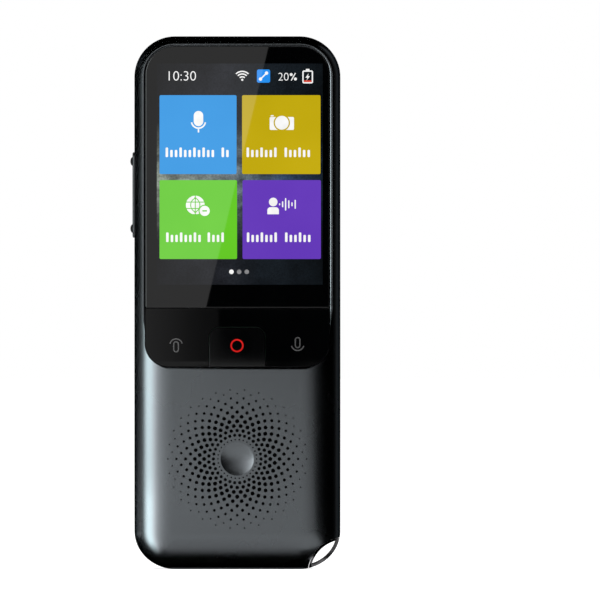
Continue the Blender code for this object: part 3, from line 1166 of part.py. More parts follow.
def make_screws(finish):
    """Four long screws from the chassis into the back, and two short ones for the camera board."""
    seat = FRAME_TOP + FIT
    top = seat + SCREW_HEAD_HEIGHT
    line = [(0, top), (SCREW_HEAD_RADIUS, top), (SCREW_HEAD_RADIUS, seat), (SCREW_RADIUS, seat),
            (SCREW_RADIUS, INNER_BACK + FIT), (0, INNER_BACK + FIT)]
    for number, (x, y) in enumerate(screw_places()):
        turned("housing_screw_" + str(number + 1), line, x, y, SCREW_SIDES, finish)
    seat = TOP_BOARD_BACK - FIT
    line = [(0, FRAME_TOP), (SCREW_RADIUS, FRAME_TOP), (SCREW_RADIUS, seat), (SCREW_HEAD_RADIUS, seat),
            (SCREW_HEAD_RADIUS, seat - SCREW_HEAD_HEIGHT), (0, seat - SCREW_HEAD_HEIGHT)]
    for number, (x, y) in enumerate(board_screw_places()):
        turned("board_screw_" + str(number + 1), line, x, y, SCREW_SIDES, finish)


def main():
    """Builds every piece."""
    clear_scene()
    make_collection(PARTS)
    make_collection(CUTTERS)
    stand = bpy.data.objects.new("stand", None)
    stand.rotation_euler = (math.radians(90), 0, 0)
    bpy.data.collections[PARTS].objects.link(stand)
    finish = finishes()
    cavity = make_cavity()
    cutters, lower_hole, upper_hole = make_shared_cutters()
    make_front_shell(finish["slate"], cavity, cutters, lower_hole)
    make_back_shell(finish["slate"], cavity, cutters, upper_hole)
    make_mid_frame(finish["chassis"])
    make_display(finish)
    make_talk_rocker(finish["black_key"])
    make_home_button(finish["dark_key"])
    make_key_board(finish)
    make_side_rocker(finish)
    make_speaker(finish)
    make_boards(finish)
    make_link(finish["flex"])
    make_battery(finish)
    make_camera(finish)
    make_port(finish)
    make_microphones(finish["steel"])
    make_aerial(finish["flex"])
    make_lanyard_loop(finish["chrome"], cutters[0])
    make_screws(finish["steel"])


main()
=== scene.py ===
"""Looks of the handheld translator: fine shells, keys, lit screen, grille and lanyard loop over its frame.

Pieces are drawn as seen from the front (x across, y up the length, z out of the screen) in metres, and STAND
puts them upright, with the screen facing -Y.
"""

import math

import bmesh
import bpy
from mathutils import Matrix, Vector


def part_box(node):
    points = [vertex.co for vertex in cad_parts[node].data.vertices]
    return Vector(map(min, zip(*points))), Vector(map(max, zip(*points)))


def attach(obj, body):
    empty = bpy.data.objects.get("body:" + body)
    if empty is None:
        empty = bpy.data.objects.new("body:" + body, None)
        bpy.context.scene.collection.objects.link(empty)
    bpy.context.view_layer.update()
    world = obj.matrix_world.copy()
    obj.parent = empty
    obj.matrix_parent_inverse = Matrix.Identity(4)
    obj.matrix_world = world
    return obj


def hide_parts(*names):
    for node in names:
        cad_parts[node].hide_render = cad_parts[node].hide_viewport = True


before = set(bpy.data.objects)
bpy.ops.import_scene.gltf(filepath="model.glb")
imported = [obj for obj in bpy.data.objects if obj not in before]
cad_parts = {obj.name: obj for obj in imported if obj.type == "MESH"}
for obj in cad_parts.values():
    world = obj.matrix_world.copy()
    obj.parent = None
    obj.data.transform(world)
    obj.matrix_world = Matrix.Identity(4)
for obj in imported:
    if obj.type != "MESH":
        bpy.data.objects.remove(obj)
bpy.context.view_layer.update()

MM = 0.001
STAND = Matrix(((1, 0, 0, 0), (0, 0, -1, 0), (0, 1, 0, 0), (0, 0, 0, 1)))


def span(node):
    """Where a CAD node lies in the drawing: left, right, bottom, top, back level, front level."""
    low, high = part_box(node)
    return low.x, high.x, low.z, high.z, -high.y, -low.y


# Places read from the frame
_, HALF_WIDTH, _, LENGTH, _, FRONT = span("front_shell")
GLASS_LEFT, GLASS_RIGHT, GLASS_BOTTOM, GLASS_TOP_END, GLASS_BACK, GLASS_FACE = span("screen_glass")
LCD_LEFT, LCD_RIGHT, LCD_BOTTOM, LCD_TOP_END, _, _ = span("lcd_panel")
_, _, _, HOME_TOP, HOME_FOOT, _ = span("home_button")
MESH_BOX = span("speaker_mesh")
SPEAKER_HEIGHT = (MESH_BOX[2] + MESH_BOX[3]) / 2
PLATE_LEFT, PLATE_RIGHT, PLATE_BOTTOM, PLATE_TOP_END, PLATE_FACE, PLATE_SEAT = span("camera_plate")
CAMERA_HEIGHT = (PLATE_BOTTOM + PLATE_TOP_END) / 2
RING_LEFT, RING_RIGHT, _, _, RING_FACE, RING_SEAT = span("camera_ring")
CAMERA_X = (RING_LEFT + RING_RIGHT) / 2
WINDOW_LEFT, WINDOW_RIGHT, _, _, WINDOW_FACE, WINDOW_BACK = span("camera_window")
PIPE_LEFT, PIPE_RIGHT, _, _, PIPE_FACE, PIPE_BACK = span("flash_pipe")
FLASH_X = (PIPE_LEFT + PIPE_RIGHT) / 2
ROCKER_FACE, _, ROCKER_BOTTOM, ROCKER_TOP, _, _ = span("volume_rocker")
PORT_LEFT, PORT_RIGHT, PORT_MOUTH, PORT_END, PORT_BACK, PORT_FRONT = span("usb_shell")
_, _, TONGUE_TIP, TONGUE_ROOT, _, _ = span("usb_tongue")

# Housing
EDGE_RADIUS = FRONT
CORNER_SPREAD = 2.75 * MM
CORNER_RADIUS = EDGE_RADIUS + CORNER_SPREAD
SOFT_REACH = 8.8 * MM
SOFT_POWER = 2.4
BASE_FLAT = 5.4 * MM
BASE_CUT = EDGE_RADIUS - math.sqrt(EDGE_RADIUS ** 2 - (BASE_FLAT / 2) ** 2)
WALL = 1.2 * MM
SEAM = 0.1 * MM
LIP_THICKNESS = 0.45 * MM
LIP_DEPTH = 0.9 * MM
FIT = 0.3 * MM
REACH = 1.5 * MM
BEYOND = FRONT + REACH
OVERLAP = 0.01 * MM

# Screen opening and ramp
GLASS_RECESS = 0.05 * MM
DISPLAY_LEVEL = GLASS_FACE + GLASS_RECESS
SEAM_GAP = 0.2 * MM
OPENING_HALF_WIDTH = GLASS_RIGHT + SEAM_GAP
OPENING_TOP = GLASS_TOP_END + SEAM_GAP
OPENING_TOP_RADIUS = 6.6 * MM
OPENING_LOW_RADIUS = 5.3 * MM
OPENING_LIP_WIDTH = 0.65 * MM
OPENING_LIP_DEPTH = 0.4 * MM
RIM_ROUND = 0.25 * MM
RIM_STEP = 0.4 * MM
KEY_TOP = GLASS_BOTTOM - SEAM_GAP
KEY_LENGTH = 12.8 * MM
KEY_BOTTOM = KEY_TOP - KEY_LENGTH
OPENING_BOTTOM = KEY_BOTTOM - SEAM_GAP
KEY_CROWN = 0.05 * MM
KEY_PLATE = 0.4 * MM
KEY_EDGE = 0.15 * MM
TALK_EDGE_SHARE = 0.8
HOME_WIDTH = 12.3 * MM
HOME_CORNER = 2.2 * MM
HOME_PROUD = 0.2 * MM

# Side rocker and studs
ROCKER_MIDDLE = (ROCKER_BOTTOM + ROCKER_TOP) / 2
ROCKER_LENGTH = 19.0 * MM
ROCKER_WIDTH = 2.9 * MM
ROCKER_ROUND = 0.32 * MM
SIDE_GAP = 0.2 * MM
STUD_RADIUS = 0.95 * MM
STUD_DOME_SHARE = 0.55

# Grille
HOLES_PER_RING = 30
FIRST_RING = 5.28 * MM
RING_PITCH = 1.023 * MM
LARGEST_HOLE = 0.86 * MM
HOLE_SHARES = (0.76, 0.85, 0.97, 1.0, 0.93, 0.83, 0.74, 0.63, 0.54)
HOLE_CHAMFER = 0.04 * MM
PIN_RINGS = ((4.29 * MM, 0), (14.47 * MM, 1), (15.35 * MM, 0))
PIN_RADIUS = 0.17 * MM
DIMPLE_RADIUS = 3.67 * MM
DIMPLE_DEPTH = 0.55 * MM
DIMPLE_BALL = (DIMPLE_RADIUS ** 2 + DIMPLE_DEPTH ** 2) / (2 * DIMPLE_DEPTH)

# Lanyard loop
BITE_X = HALF_WIDTH + 0.85 * MM
BITE_Y = -0.95 * MM
BITE_RADIUS = 7.5 * MM
LOOP_LINER = 0.45 * MM
LOOP_GAP = 0.12 * MM
LOOP_BAR_THICKNESS = 0.8 * MM
LOOP_BAR_WIDTH = 2.1 * MM
LOOP_BAR_OVERLAP_DEGREES = 4.0
LOOP_EDGE = 0.14 * MM

# Camera side, microphone holes and charging socket
RING_WIDTH = 0.8 * MM
RING_ROUND = 0.13 * MM
EYE_RADIUS = 1.35 * MM
EYE_STEP = 0.16 * MM
FLASH_GROOVE_SHARES = (0.75, 0.5, 0.25)
GROOVE_HALF_SHARE = 0.05
PLATE_POCKET = 0.75 * MM
PLATE_ROUND = 0.12 * MM
SOUND_HOLE_RADIUS = 0.5 * MM
LOWER_MIC = (-9.8 * MM, -1.12 * MM)
UPPER_MIC = (9.5 * MM, -2.02 * MM)
PORT_WALL = 0.3 * MM
PORT_LIP = 0.1 * MM
TONGUE_HALF_WIDTH = 3.35 * MM
TONGUE_HALF_THICKNESS = 0.35 * MM
TONGUE_EDGE = 0.15 * MM

# Faceting
CORNER_STEPS = 20
EDGE_STEPS = 20
ARC_STEPS = 14
RAMP_STEPS = 40
HOLE_SIDES = 16
ROUND_SIDES = 64
BITE_SIDES = 120
LIP_ANGLES = range(0, 85, 12)
SMOOTH_ANGLE = math.radians(35)
SKIN_TOLERANCE = 0.03 * MM
SKIN_AGREEMENT = 0.985

# The photo's front view: the middle of the device, its base and the size of a pixel
PHOTO_MIDDLE = 237.25
PHOTO_BASE = 569.5
PIXEL = 0.2212 * MM


def seen(px, py):
    """A place in the photo, in the drawing."""
    return (px - PHOTO_MIDDLE) * PIXEL, (PHOTO_BASE - py) * PIXEL


# Shapes

def put(name, data):
    """Adds data to the scene as an object."""
    made = bpy.data.objects.new(name, data)
    bpy.context.scene.collection.objects.link(made)
    return made


def add_mesh(shape, name="shape"):
    """Turns a bmesh into an object in the drawing."""
    bmesh.ops.recalc_face_normals(shape, faces=shape.faces)
    mesh = bpy.data.meshes.new(name)
    shape.to_mesh(mesh)
    shape.free()
    return put(name, mesh)


def add_loft(shape, rings, closed=False):
    """Adds a skin over rings of equally many points, capped, or joined end to end when closed."""
    loops = [[shape.verts.new(point) for point in ring] for ring in rings]
    pairs = list(zip(loops, loops[1:]))
    if closed:
        pairs.append((loops[-1], loops[0]))
    for lower, upper in pairs:
        for index in range(len(lower)):
            after = (index + 1) % len(lower)
            shape.faces.new((lower[index], lower[after], upper[after], upper[index]))
    if not closed:
        shape.faces.new(list(reversed(loops[0])))
        shape.faces.new(loops[-1])


def loft(rings, closed=False):
    """One skin over rings as an object."""
    shape = bmesh.new()
    add_loft(shape, rings, closed)
    return add_mesh(shape)


def oval_arc(x, y, wide, tall, start, end, steps):
    """Points on an oval between two angles in degrees, both ends included."""
    angles = [math.radians(start + (end - start) * step / steps) for step in range(steps + 1)]
    return [(x + wide * math.cos(angle), y + tall * math.sin(angle)) for angle in angles]


def arc(x, y, radius, start, end, steps):
    """Points on a circle between two angles in degrees, both ends included."""
    return oval_arc(x, y, radius, radius, start, end, steps)


def circle(x, y, radius, sides, turn=0.0):
    """Points round a circle."""
    return arc(x, y, radius, turn, turn + 360, sides)[:-1]


def rounded(left, right, bottom, top, low_radius, high_radius=None, steps=ARC_STEPS, low_height=None):
    """A rectangle with round corners, which may differ at its upper end and be flatter at its lower end."""
    high = low_radius if high_radius is None else high_radius
    tall = low_radius if low_height is None else low_height
    points = oval_arc(right - low_radius, bottom + tall, low_radius, tall, -90, 0, steps)
    points += arc(right - high, top - high, high, 0, 90, steps)
    points += arc(left + high, top - high, high, 90, 180, steps)
    points += oval_arc(left + low_radius, bottom + tall, low_radius, tall, 180, 270, steps)
    return points


def pill(left, right, middle, radius):
    """An outline with two straight sides and half-round ends to the left and right."""
    points = arc(right - radius, middle, radius, -90, 90, ARC_STEPS)
    return points + arc(left + radius, middle, radius, 90, 270, ARC_STEPS)


def at_level(outline, level):
    """An outline of the front view at a level."""
    return [(x, y, level) for x, y in outline]


def at_height(outline, y):
    """An outline of the end view at a height."""
    return [(x, y, z) for x, z in outline]


def at_side(outline, x):
    """An outline of the side view at a place across."""
    return [(x, y, z) for y, z in outline]


def slab(outline, low, high):
    """An outline of the front view with a thickness."""
    return loft([at_level(outline, low), at_level(outline, high)])


def sweep_x(profile, left, right):
    """A profile of (height, level) points carried across."""
    return loft([at_side(profile, left), at_side(profile, right)])


def sweep_y(profile, low, high):
    """A profile of (x, level) points carried up the length."""
    return loft([at_height(profile, low), at_height(profile, high)])


def block(left, right, bottom, top, low, high):
    """A cutter with six flat sides."""
    return slab([(left, bottom), (right, bottom), (right, top), (left, top)], low, high)


def lathe(x, y, profile, closed=False):
    """A turned shape about an axis along the thickness, from (radius, level) points."""
    return loft([at_level(circle(x, y, radius, ROUND_SIDES), level) for radius, level in profile], closed)


def fillet(level_from, radius, steps, sign=1):
    """(inset, level) pairs round a quarter circle at a front edge (sign 1) or a back edge (sign -1)."""
    angles = [math.radians(90 * step / steps) for step in range(steps + 1)]
    return [(radius * (1 - math.cos(angle)), level_from + sign * radius * (math.sin(angle) - 1))
            for angle in angles]


def modify(target, kind, **settings):
    """Adds a modifier to a shape."""
    change = target.modifiers.new(kind, kind)
    for name, value in settings.items():
        setattr(change, name, value)


def bake(target):
    """Replaces a shape's mesh by what its modifiers make of it."""
    graph = bpy.context.evaluated_depsgraph_get()
    mesh = bpy.data.meshes.new_from_object(target.evaluated_get(graph))
    target.modifiers.clear()
    target.data = mesh


def carve(target, *tools):
    """Cuts tools out of a shape in turn; a tool given as (kind, tool) unites or intersects instead."""
    steps = [tool if isinstance(tool, tuple) else ("DIFFERENCE", tool) for tool in tools]
    for kind, tool in steps:
        modify(target, "BOOLEAN", operation=kind, solver="EXACT", object=tool)
    bake(target)
    for _, tool in steps:
        bpy.data.objects.remove(tool, do_unlink=True)
    return target


def bevel(target, width, segments):
    """Rounds a shape's sharp edges."""
    modify(target, "BEVEL", width=width, segments=segments, limit_method="ANGLE", angle_limit=SMOOTH_ANGLE)
    bake(target)


def join(shapes):
    """Makes one shape of several."""
    made = bmesh.new()
    for shape in shapes:
        made.from_mesh(shape.data)
        bpy.data.objects.remove(shape, do_unlink=True)
    return add_mesh(made)


# Exact normals of the curved skins

def pillow_skin(point):
    """How far a point lies off the housing's outer form, and that form's normal there."""
    side = HALF_WIDTH - CORNER_RADIUS
    x = min(max(point.x, -side), side)
    y = min(max(point.y, CORNER_RADIUS - BASE_CUT), LENGTH - CORNER_RADIUS)
    away = Vector((point.x - x, point.y - y, 0))
    share = min(max((away.length - CORNER_RADIUS + SOFT_REACH) / SOFT_REACH, 0.0), 1.0)
    if share == 0.0:
        return abs(point.z) - FRONT, Vector((0, 0, math.copysign(1, point.z)))
    rise = max(1 - share ** SOFT_POWER, 0.0)
    outward = away.normalized() * share ** (SOFT_POWER - 1) / SOFT_REACH
    level = (abs(point.z) / FRONT) ** (SOFT_POWER - 1) / FRONT
    normal = Vector((outward.x, outward.y, math.copysign(level, point.z))).normalized()
    return (abs(point.z) - FRONT * rise ** (1 / SOFT_POWER)) * abs(normal.z), normal


def ramp_level(height, proud=0.0):
    """The level of the key ramp at a height."""
    share = min(max((KEY_TOP - height) / KEY_LENGTH, 0.0), 1.0)
    rise = FRONT + KEY_CROWN - DISPLAY_LEVEL
    return DISPLAY_LEVEL + rise * share * share * (3 - 2 * share) + proud


def ramp_skin(proud):
    """A test for points on the ramp."""
    def skin(point):
        step = FIT / 4
        slope = (ramp_level(point.y + step) - ramp_level(point.y - step)) / (2 * step)
        return point.z - ramp_level(point.y, proud), Vector((0, -slope, 1)).normalized()
    return skin


def dimple_skin(point):
    """A test for points in the dimple."""
    middle = Vector((0, SPEAKER_HEIGHT, FRONT - DIMPLE_DEPTH + DIMPLE_BALL))
    return (middle - point).length - DIMPLE_BALL, (middle - point).normalized()


def shade(shape, skins):
    """Smooth shading by angle: exact normals for faces on the skins, or else led by large faces."""
    mesh = shape.data
    mesh.shade_smooth()
    mesh.set_sharp_from_angle(angle=SMOOTH_ANGLE)
    if not skins:
        modify(shape, "WEIGHTED_NORMAL", keep_sharp=True)
        bake(shape)
        return
    normals = [corner.vector.copy() for corner in mesh.corner_normals]
    for face in mesh.polygons:
        for skin in skins:
            off, normal = skin(face.center)
            if abs(off) < SKIN_TOLERANCE and normal.dot(face.normal) > SKIN_AGREEMENT:
                for index in face.loop_indices:
                    normals[index] = skin(mesh.vertices[mesh.loops[index].vertex_index].co)[1]
                break
    mesh.normals_split_custom_set(normals)


def piece(shape, name, finish, body="housing", nodes=(), skins=None):
    """Finishes a shape: shading, material, place, and what it rides on and stands for."""
    shade(shape, skins)
    shape.name = name
    shape.data.name = name
    shape.data.transform(STAND)
    shape.data.materials.clear()
    shape.data.materials.append(FINISH[finish])
    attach(shape, body)
    if nodes:
        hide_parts(*nodes)


# Materials

class Net:
    """The nodes of a material or world under construction."""

    def __init__(self, owner, clear=True):
        self.owner = owner
        owner.use_nodes = True
        self.tree = owner.node_tree
        if clear:
            self.tree.nodes.clear()

    def give(self, node, name, value):
        """Links another node's output to an input, or sets the input to a number or colour."""
        if isinstance(value, bpy.types.NodeSocket):
            self.tree.links.new(value, node.inputs[name])
        else:
            node.inputs[name].default_value = value

    def node(self, kind, inputs=None, **settings):
        """Adds a node with its settings and inputs."""
        made = self.tree.nodes.new("ShaderNode" + kind)
        for name, value in settings.items():
            setattr(made, name, value)
        for name, value in (inputs or {}).items():
            self.give(made, name, value)
        return made

    def place(self):
        """Where a point lies on the object."""
        return self.node("TexCoord").outputs["Object"]

    def axes(self):
        """Where a point lies on the object, by axis."""
        return self.node("SeparateXYZ", {"Vector": self.place()}).outputs

    def maths(self, operation, first, second):
        """The result of an operation on two numbers."""
        return self.node("Math", {0: first, 1: second}, operation=operation).outputs[0]

    def product(self, first, second):
        """The product of two numbers."""
        return self.maths("MULTIPLY", first, second)

    def stretch(self, factor, low, high, start=0.3, end=0.7):
        """Maps a factor to a range."""
        made = self.node("MapRange", {"Value": factor, "From Min": start, "From Max": end, "To Min": low,
                                      "To Max": high})
        return made.outputs["Result"]

    def ramp(self, factor, *stops):
        """Colours by a factor, from (position, colour) stops."""
        made = self.node("ValToRGB", {"Fac": factor})
        elements = made.color_ramp.elements
        while len(elements) < len(stops):
            elements.new(0.5)
        for element, (position, colour) in zip(elements, stops):
            element.position = position
            element.color = (*colour, 1.0)
        return made.outputs["Color"]

    def end(self, kind, shader):
        """Ends the nodes in an output."""
        self.node("Output" + kind, {"Surface": shader.outputs[0]})
        return self.owner


class Finish(Net):
    """A material with a Principled shader."""

    def __init__(self, name):
        super().__init__(bpy.data.materials.new(name), False)
        self.shader = self.tree.nodes["Principled BSDF"]

    def set(self, **values):
        """Sets or links inputs of the shader, named with underscores for spaces."""
        for name, value in values.items():
            self.give(self.shader, name.replace("_", " "), value)
        return self

    def noise(self, size, detail=3.0, stretch=None):
        """A noise whose features are about as large as size."""
        place = self.place()
        if stretch:
            place = self.node("Mapping", {"Scale": stretch, "Vector": place}).outputs["Vector"]
        return self.node("TexNoise", {"Scale": 1 / size, "Detail": detail, "Vector": place}).outputs["Fac"]

    def bump(self, height, depth):
        """A fine relief of a given depth."""
        return self.set(Normal=self.node("Bump", {"Distance": depth, "Height": height}).outputs["Normal"])


# Material name, colour, spread of the colour, size of its clouds in mm, roughness, spread of the
# roughness, metal, and depth and size of a fine relief in mm
TONED = {
    "chrome": ("chrome", (0.62, 0.63, 0.64), 0.04, 4, 0.14, 0.04, 1.0, 0.0006, 0.1),
    "trim": ("trim_metal", (0.045, 0.045, 0.046), 0.05, 3, 0.16, 0.03, 1.0, 0.0006, 0.1),
    "print": ("key_print_grey", (0.055, 0.055, 0.055), 0.08, 1, 0.4),
    "rubber": ("stud_rubber", (0.006, 0.006, 0.006), 0.2, 0.5, 0.6, 0.05, 0.0, 0.01, 0.06),
    "side": ("side_key_metal", (0.026, 0.027, 0.028), 0.08, 0.07, 0.34, 0.02, 1.0),
    "steel": ("bright_steel", (0.50, 0.50, 0.49), 0.08, 2, 0.3, 0.05, 1.0),
    "chassis": ("chassis_grey", (0.09, 0.09, 0.095), 0.15, 1, 0.5, 0.05, 0.3, 0.005),
    "board": ("board_green", (0.01, 0.06, 0.03), 0.3, 1.2, 0.5, 0.1),
    "flex": ("flex_amber", (0.30, 0.12, 0.02), 0.15, 0.8, 0.45),
    "plastic": ("black_plastic", (0.02, 0.02, 0.02), 0.2, 0.4, 0.5, 0.08, 0.0, 0.006),
    "diffuser": ("diffuser_white", (0.75, 0.75, 0.74), 0.03, 1, 0.4),
    "foil": ("battery_foil", (0.35, 0.36, 0.38), 0.1, 2, 0.3, 0.06, 0.9, 0.02),
    "foam": ("foam_black", (0.015, 0.015, 0.015), 0.3, 0.2, 0.9, 0.05, 0.0, 0.03),
    "paper": ("cone_paper", (0.03, 0.03, 0.03), 0.3, 0.3, 0.8, 0.05, 0.0, 0.02),
    "diode": ("diode_yellow", (0.80, 0.70, 0.20), 0.1, 0.3, 0.4),
}
# Material name, least roughness and specular level
GLOSSY = {
    "glass": ("cover_glass_black", 0.008, 0.36),
    "talk": ("key_gloss_black", 0.06, 0.2),
    "home": ("home_satin_black", 0.18, 0.22),
    "lens": ("lens_glass", 0.02, 0.6),
    "panel": ("panel_black", 0.1, 0.5),
}
# Material name, the two colours that its light runs between, and the size of its clouds in mm
LIT = {
    "white": ("icon_white", (242, 242, 240), (252, 252, 252), 2),
    "dim": ("page_dot_grey", (120, 120, 122), (140, 140, 142), 1),
    "blue": ("tile_blue_light", (30, 146, 221), (36, 150, 225), 16),
    "yellow": ("tile_yellow_light", (190, 166, 8), (197, 172, 14), 16),
    "green": ("tile_green_light", (97, 198, 34), (103, 203, 40), 16),
    "purple": ("tile_purple_light", (99, 56, 183), (103, 60, 187), 16),
    "badge": ("badge_blue_light", (34, 140, 236), (40, 146, 242), 3),
    "low": ("battery_red_light", (214, 66, 48), (224, 74, 54), 1),
    "red": ("ring_red_light", (196, 24, 22), (214, 32, 28), 2),
}
RED_SPECULAR = 0.2
RUBBER_SPECULAR = 0.1
SCREEN_SPECULAR = 0.6
PICTURE_SPECULAR = 0.3
UNDER_GLASS = {"Base_Color": (0.002, 0.002, 0.002, 1.0), "Emission_Strength": 1.0, "Roughness": 0.012}
# The housing's coat
FLAKE_SIZE = 0.07 * MM
FLAKE_DEPTH = 0.0004 * MM
SLATE_LOW = (0.070, 0.0765, 0.081)
SLATE_HIGH = (0.081, 0.088, 0.094)
SLATE_EDGE = (0.12, 0.13, 0.14, 1.0)
SLATE_CLOUD = 14 * MM
SLATE_ROUGHNESS = (0.25, 0.285)
# Smears on black gloss
SMEAR_SIZE = 9 * MM
SMEAR_STRETCH = (1.0, 1.0, 0.35)
SMEAR_LOW = (0.0003, 0.0004, 0.0005)
SMEAR_HIGH = (0.0006, 0.0007, 0.0008)
SMEAR_ROUGHER = 1.5
# The picture behind the tiles: its colours from left to right as a screen shows them, and the mist's place
SMOKE_COLOURS = ((0.0, (12, 13, 16)), (0.4, (32, 34, 40)), (0.62, (20, 26, 32)), (1.0, (6, 11, 15)))
MIST_COLOURS = ((0.0, (142, 152, 140)), (0.45, (106, 119, 123)), (0.75, (47, 65, 92)), (1.0, (10, 20, 30)))
MIST_HEIGHT = 86.0 * MM
MIST_REACH = 13.0 * MM
SMOKE_SIZE = 6 * MM
GRAIN_SIZE = 0.35 * MM
WISP_SIZE = 4 * MM
WISP_STRETCH = (1.0, 1.0, 1.7)
# The cloth behind the grille
THREAD = 0.16 * MM
THREAD_DEPTH = 0.03 * MM
CLOTH_LOW = (0.004, 0.004, 0.004)
CLOTH_HIGH = (0.012, 0.012, 0.012)


def linear(red, green, blue):
    """A colour as a screen shows it, from 0 to 255, in linear light."""
    shares = [value / 255 for value in (red, green, blue)]
    return [share / 12.92 if share <= 0.04045 else ((share + 0.055) / 1.055) ** 2.4 for share in shares]


def toned(name, colour, spread, size, roughness, rough_spread=0.05, metal=0.0, relief=0.0, relief_size=None):
    """A surface whose colour and roughness wander slightly, with an optional fine relief."""
    made = Finish(name)
    soft = made.noise(size * MM)
    low, high = ([value * share for value in colour] for share in (1 - spread, 1 + spread))
    made.set(Base_Color=made.ramp(soft, (0.3, low), (0.7, high)), Metallic=metal,
             Roughness=made.stretch(soft, roughness - rough_spread, roughness + rough_spread))
    if relief:
        made.bump(made.noise((relief_size or size / 8) * MM, 2.0), relief * MM)
    return made


def slate_paint():
    """The slate-grey metallic coat of the housing: fine flake, slightly uneven gloss."""
    made = Finish("slate_paint")
    flake = made.noise(FLAKE_SIZE, 1.0)
    made.set(Base_Color=made.ramp(flake, (0.3, SLATE_LOW), (0.7, SLATE_HIGH)), Metallic=1.0,
             Roughness=made.stretch(made.noise(SLATE_CLOUD), *SLATE_ROUGHNESS), Specular_Tint=SLATE_EDGE)
    return made.bump(flake, FLAKE_DEPTH)


def black_glass(name, roughness, specular):
    """Black glass or gloss plastic with the faintest smears."""
    made = Finish(name)
    smear = made.noise(SMEAR_SIZE, 4.0, SMEAR_STRETCH)
    return made.set(Base_Color=made.ramp(smear, (0.35, SMEAR_LOW), (0.7, SMEAR_HIGH)),
                    Roughness=made.stretch(smear, roughness, roughness * SMEAR_ROUGHER),
                    Specular_IOR_Level=specular)


def lit(name, low, high, size):
    """A lit part of the screen, under the same gloss as the glass."""
    made = Finish(name)
    light = made.ramp(made.noise(size * MM, 2.0), (0.35, linear(*low)), (0.65, linear(*high)))
    return made.set(Emission_Color=light, Specular_IOR_Level=SCREEN_SPECULAR, **UNDER_GLASS)


def screen_picture_light():
    """The picture behind the tiles: grainy smoke, darker to the right, with pale mist across it."""
    made = Finish("screen_picture_light")
    axes = made.axes()
    across = made.stretch(axes["X"], 0.0, 1.0, LCD_LEFT, LCD_RIGHT)
    grain = made.stretch(made.noise(GRAIN_SIZE, 1.0), 0.75, 1.25)
    smoke = made.product(made.stretch(made.noise(SMOKE_SIZE, 5.0), 0.55, 1.35), grain)
    rise = made.stretch(axes["Z"], 0.0, 1.0, MIST_HEIGHT - MIST_REACH, MIST_HEIGHT)
    fall = made.stretch(axes["Z"], 1.0, 0.0, MIST_HEIGHT, MIST_HEIGHT + MIST_REACH)
    wisp = made.stretch(made.noise(WISP_SIZE, 3.0, WISP_STRETCH), 0.25, 1.3)
    mist = made.product(made.product(made.product(rise, fall), wisp), grain)
    glows = []
    for colours, factor in ((SMOKE_COLOURS, smoke), (MIST_COLOURS, mist)):
        shown = made.ramp(across, *[(place, linear(*colour)) for place, colour in colours])
        glow = made.node("VectorMath", {"Vector": shown, "Scale": factor}, operation="SCALE")
        glows.append(glow.outputs["Vector"])
    light = made.node("Mix", {"Factor": 1.0, "A": glows[0], "B": glows[1]}, data_type="RGBA",
                      blend_type="ADD")
    return made.set(Emission_Color=light.outputs["Result"], Specular_IOR_Level=PICTURE_SPECULAR,
                    **UNDER_GLASS)


def speaker_cloth():
    """The dark woven mesh behind the grille."""
    made = Finish("speaker_cloth")
    weave = made.node("TexVoronoi", {"Scale": 1 / THREAD, "Vector": made.place()}).outputs["Distance"]
    made.set(Base_Color=made.ramp(weave, (0.2, CLOTH_LOW), (0.8, CLOTH_HIGH)), Roughness=0.85,
             Specular_IOR_Level=0.1)
    return made.bump(weave, THREAD_DEPTH)


def finishes():
    """Every material by name."""
    made = {"slate": slate_paint(), "cloth": speaker_cloth(), "picture": screen_picture_light()}
    for build, table in ((toned, TONED), (black_glass, GLOSSY), (lit, LIT)):
        made.update((name, build(*row)) for name, row in table.items())
    made["red"].set(Specular_IOR_Level=RED_SPECULAR)
    made["rubber"].set(Specular_IOR_Level=RUBBER_SPECULAR)
    return {name: finish.owner for name, finish in made.items()}


FINISH = finishes()
NODE_FINISH = {
    "foam": ("speaker_gasket",),
    "cloth": ("speaker_mesh",),
    "plastic": ("speaker_frame", "battery_plug", "camera_module", "volume_switch_up", "volume_switch_down"),
    "paper": ("speaker_cone",),
    "steel": ("speaker_magnet", "shield_can", "key_switch_left", "key_switch_home", "key_switch_right",
              "housing_screw_1", "housing_screw_2", "housing_screw_3", "housing_screw_4", "board_screw_1",
              "board_screw_2", "lower_microphone", "upper_microphone"),
    "board": ("main_board", "camera_board", "key_board"),
    "flex": ("lcd_flex", "link_flex", "volume_flex", "aerial_strip"),
    "foil": ("battery_cell",),
    "rubber": ("battery_lead_plus", "battery_lead_minus"),
    "chassis": ("mid_frame",),
    "diffuser": ("backlight",),
    "panel": ("lcd_panel",),
    "diode": ("flash_led",),
}


def dress_nodes():
    """Gives every CAD node that stays in view of a gap its material."""
    for name, nodes in NODE_FINISH.items():
        for node in nodes:
            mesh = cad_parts[node].data
            for index in range(len(mesh.materials)):
                mesh.materials[index] = FINISH[name]
            if not mesh.materials:
                mesh.materials.append(FINISH[name])


# Housing

def edge_angles():
    """The angles, in radians, round the half-round edge from back to front."""
    return [math.radians(90 * step / EDGE_STEPS) for step in range(-EDGE_STEPS, EDGE_STEPS + 1)]


def outer_form():
    """The housing's outer form: soft half-round edges, and lower corners that run into the base flat."""
    rings = []
    for angle in edge_angles():
        share = math.cos(angle) ** (2 / SOFT_POWER)
        level = math.copysign(abs(math.sin(angle)) ** (2 / SOFT_POWER), angle) * FRONT
        radius = CORNER_RADIUS - SOFT_REACH * (1 - share)
        tall = min(radius, CORNER_RADIUS - BASE_CUT)
        inset = CORNER_RADIUS - radius
        outline = rounded(inset - HALF_WIDTH, HALF_WIDTH - inset, CORNER_RADIUS - BASE_CUT - tall,
                          LENGTH - inset, radius, steps=CORNER_STEPS, low_height=tall)
        rings.append(at_level(outline, level))
    return loft(rings)


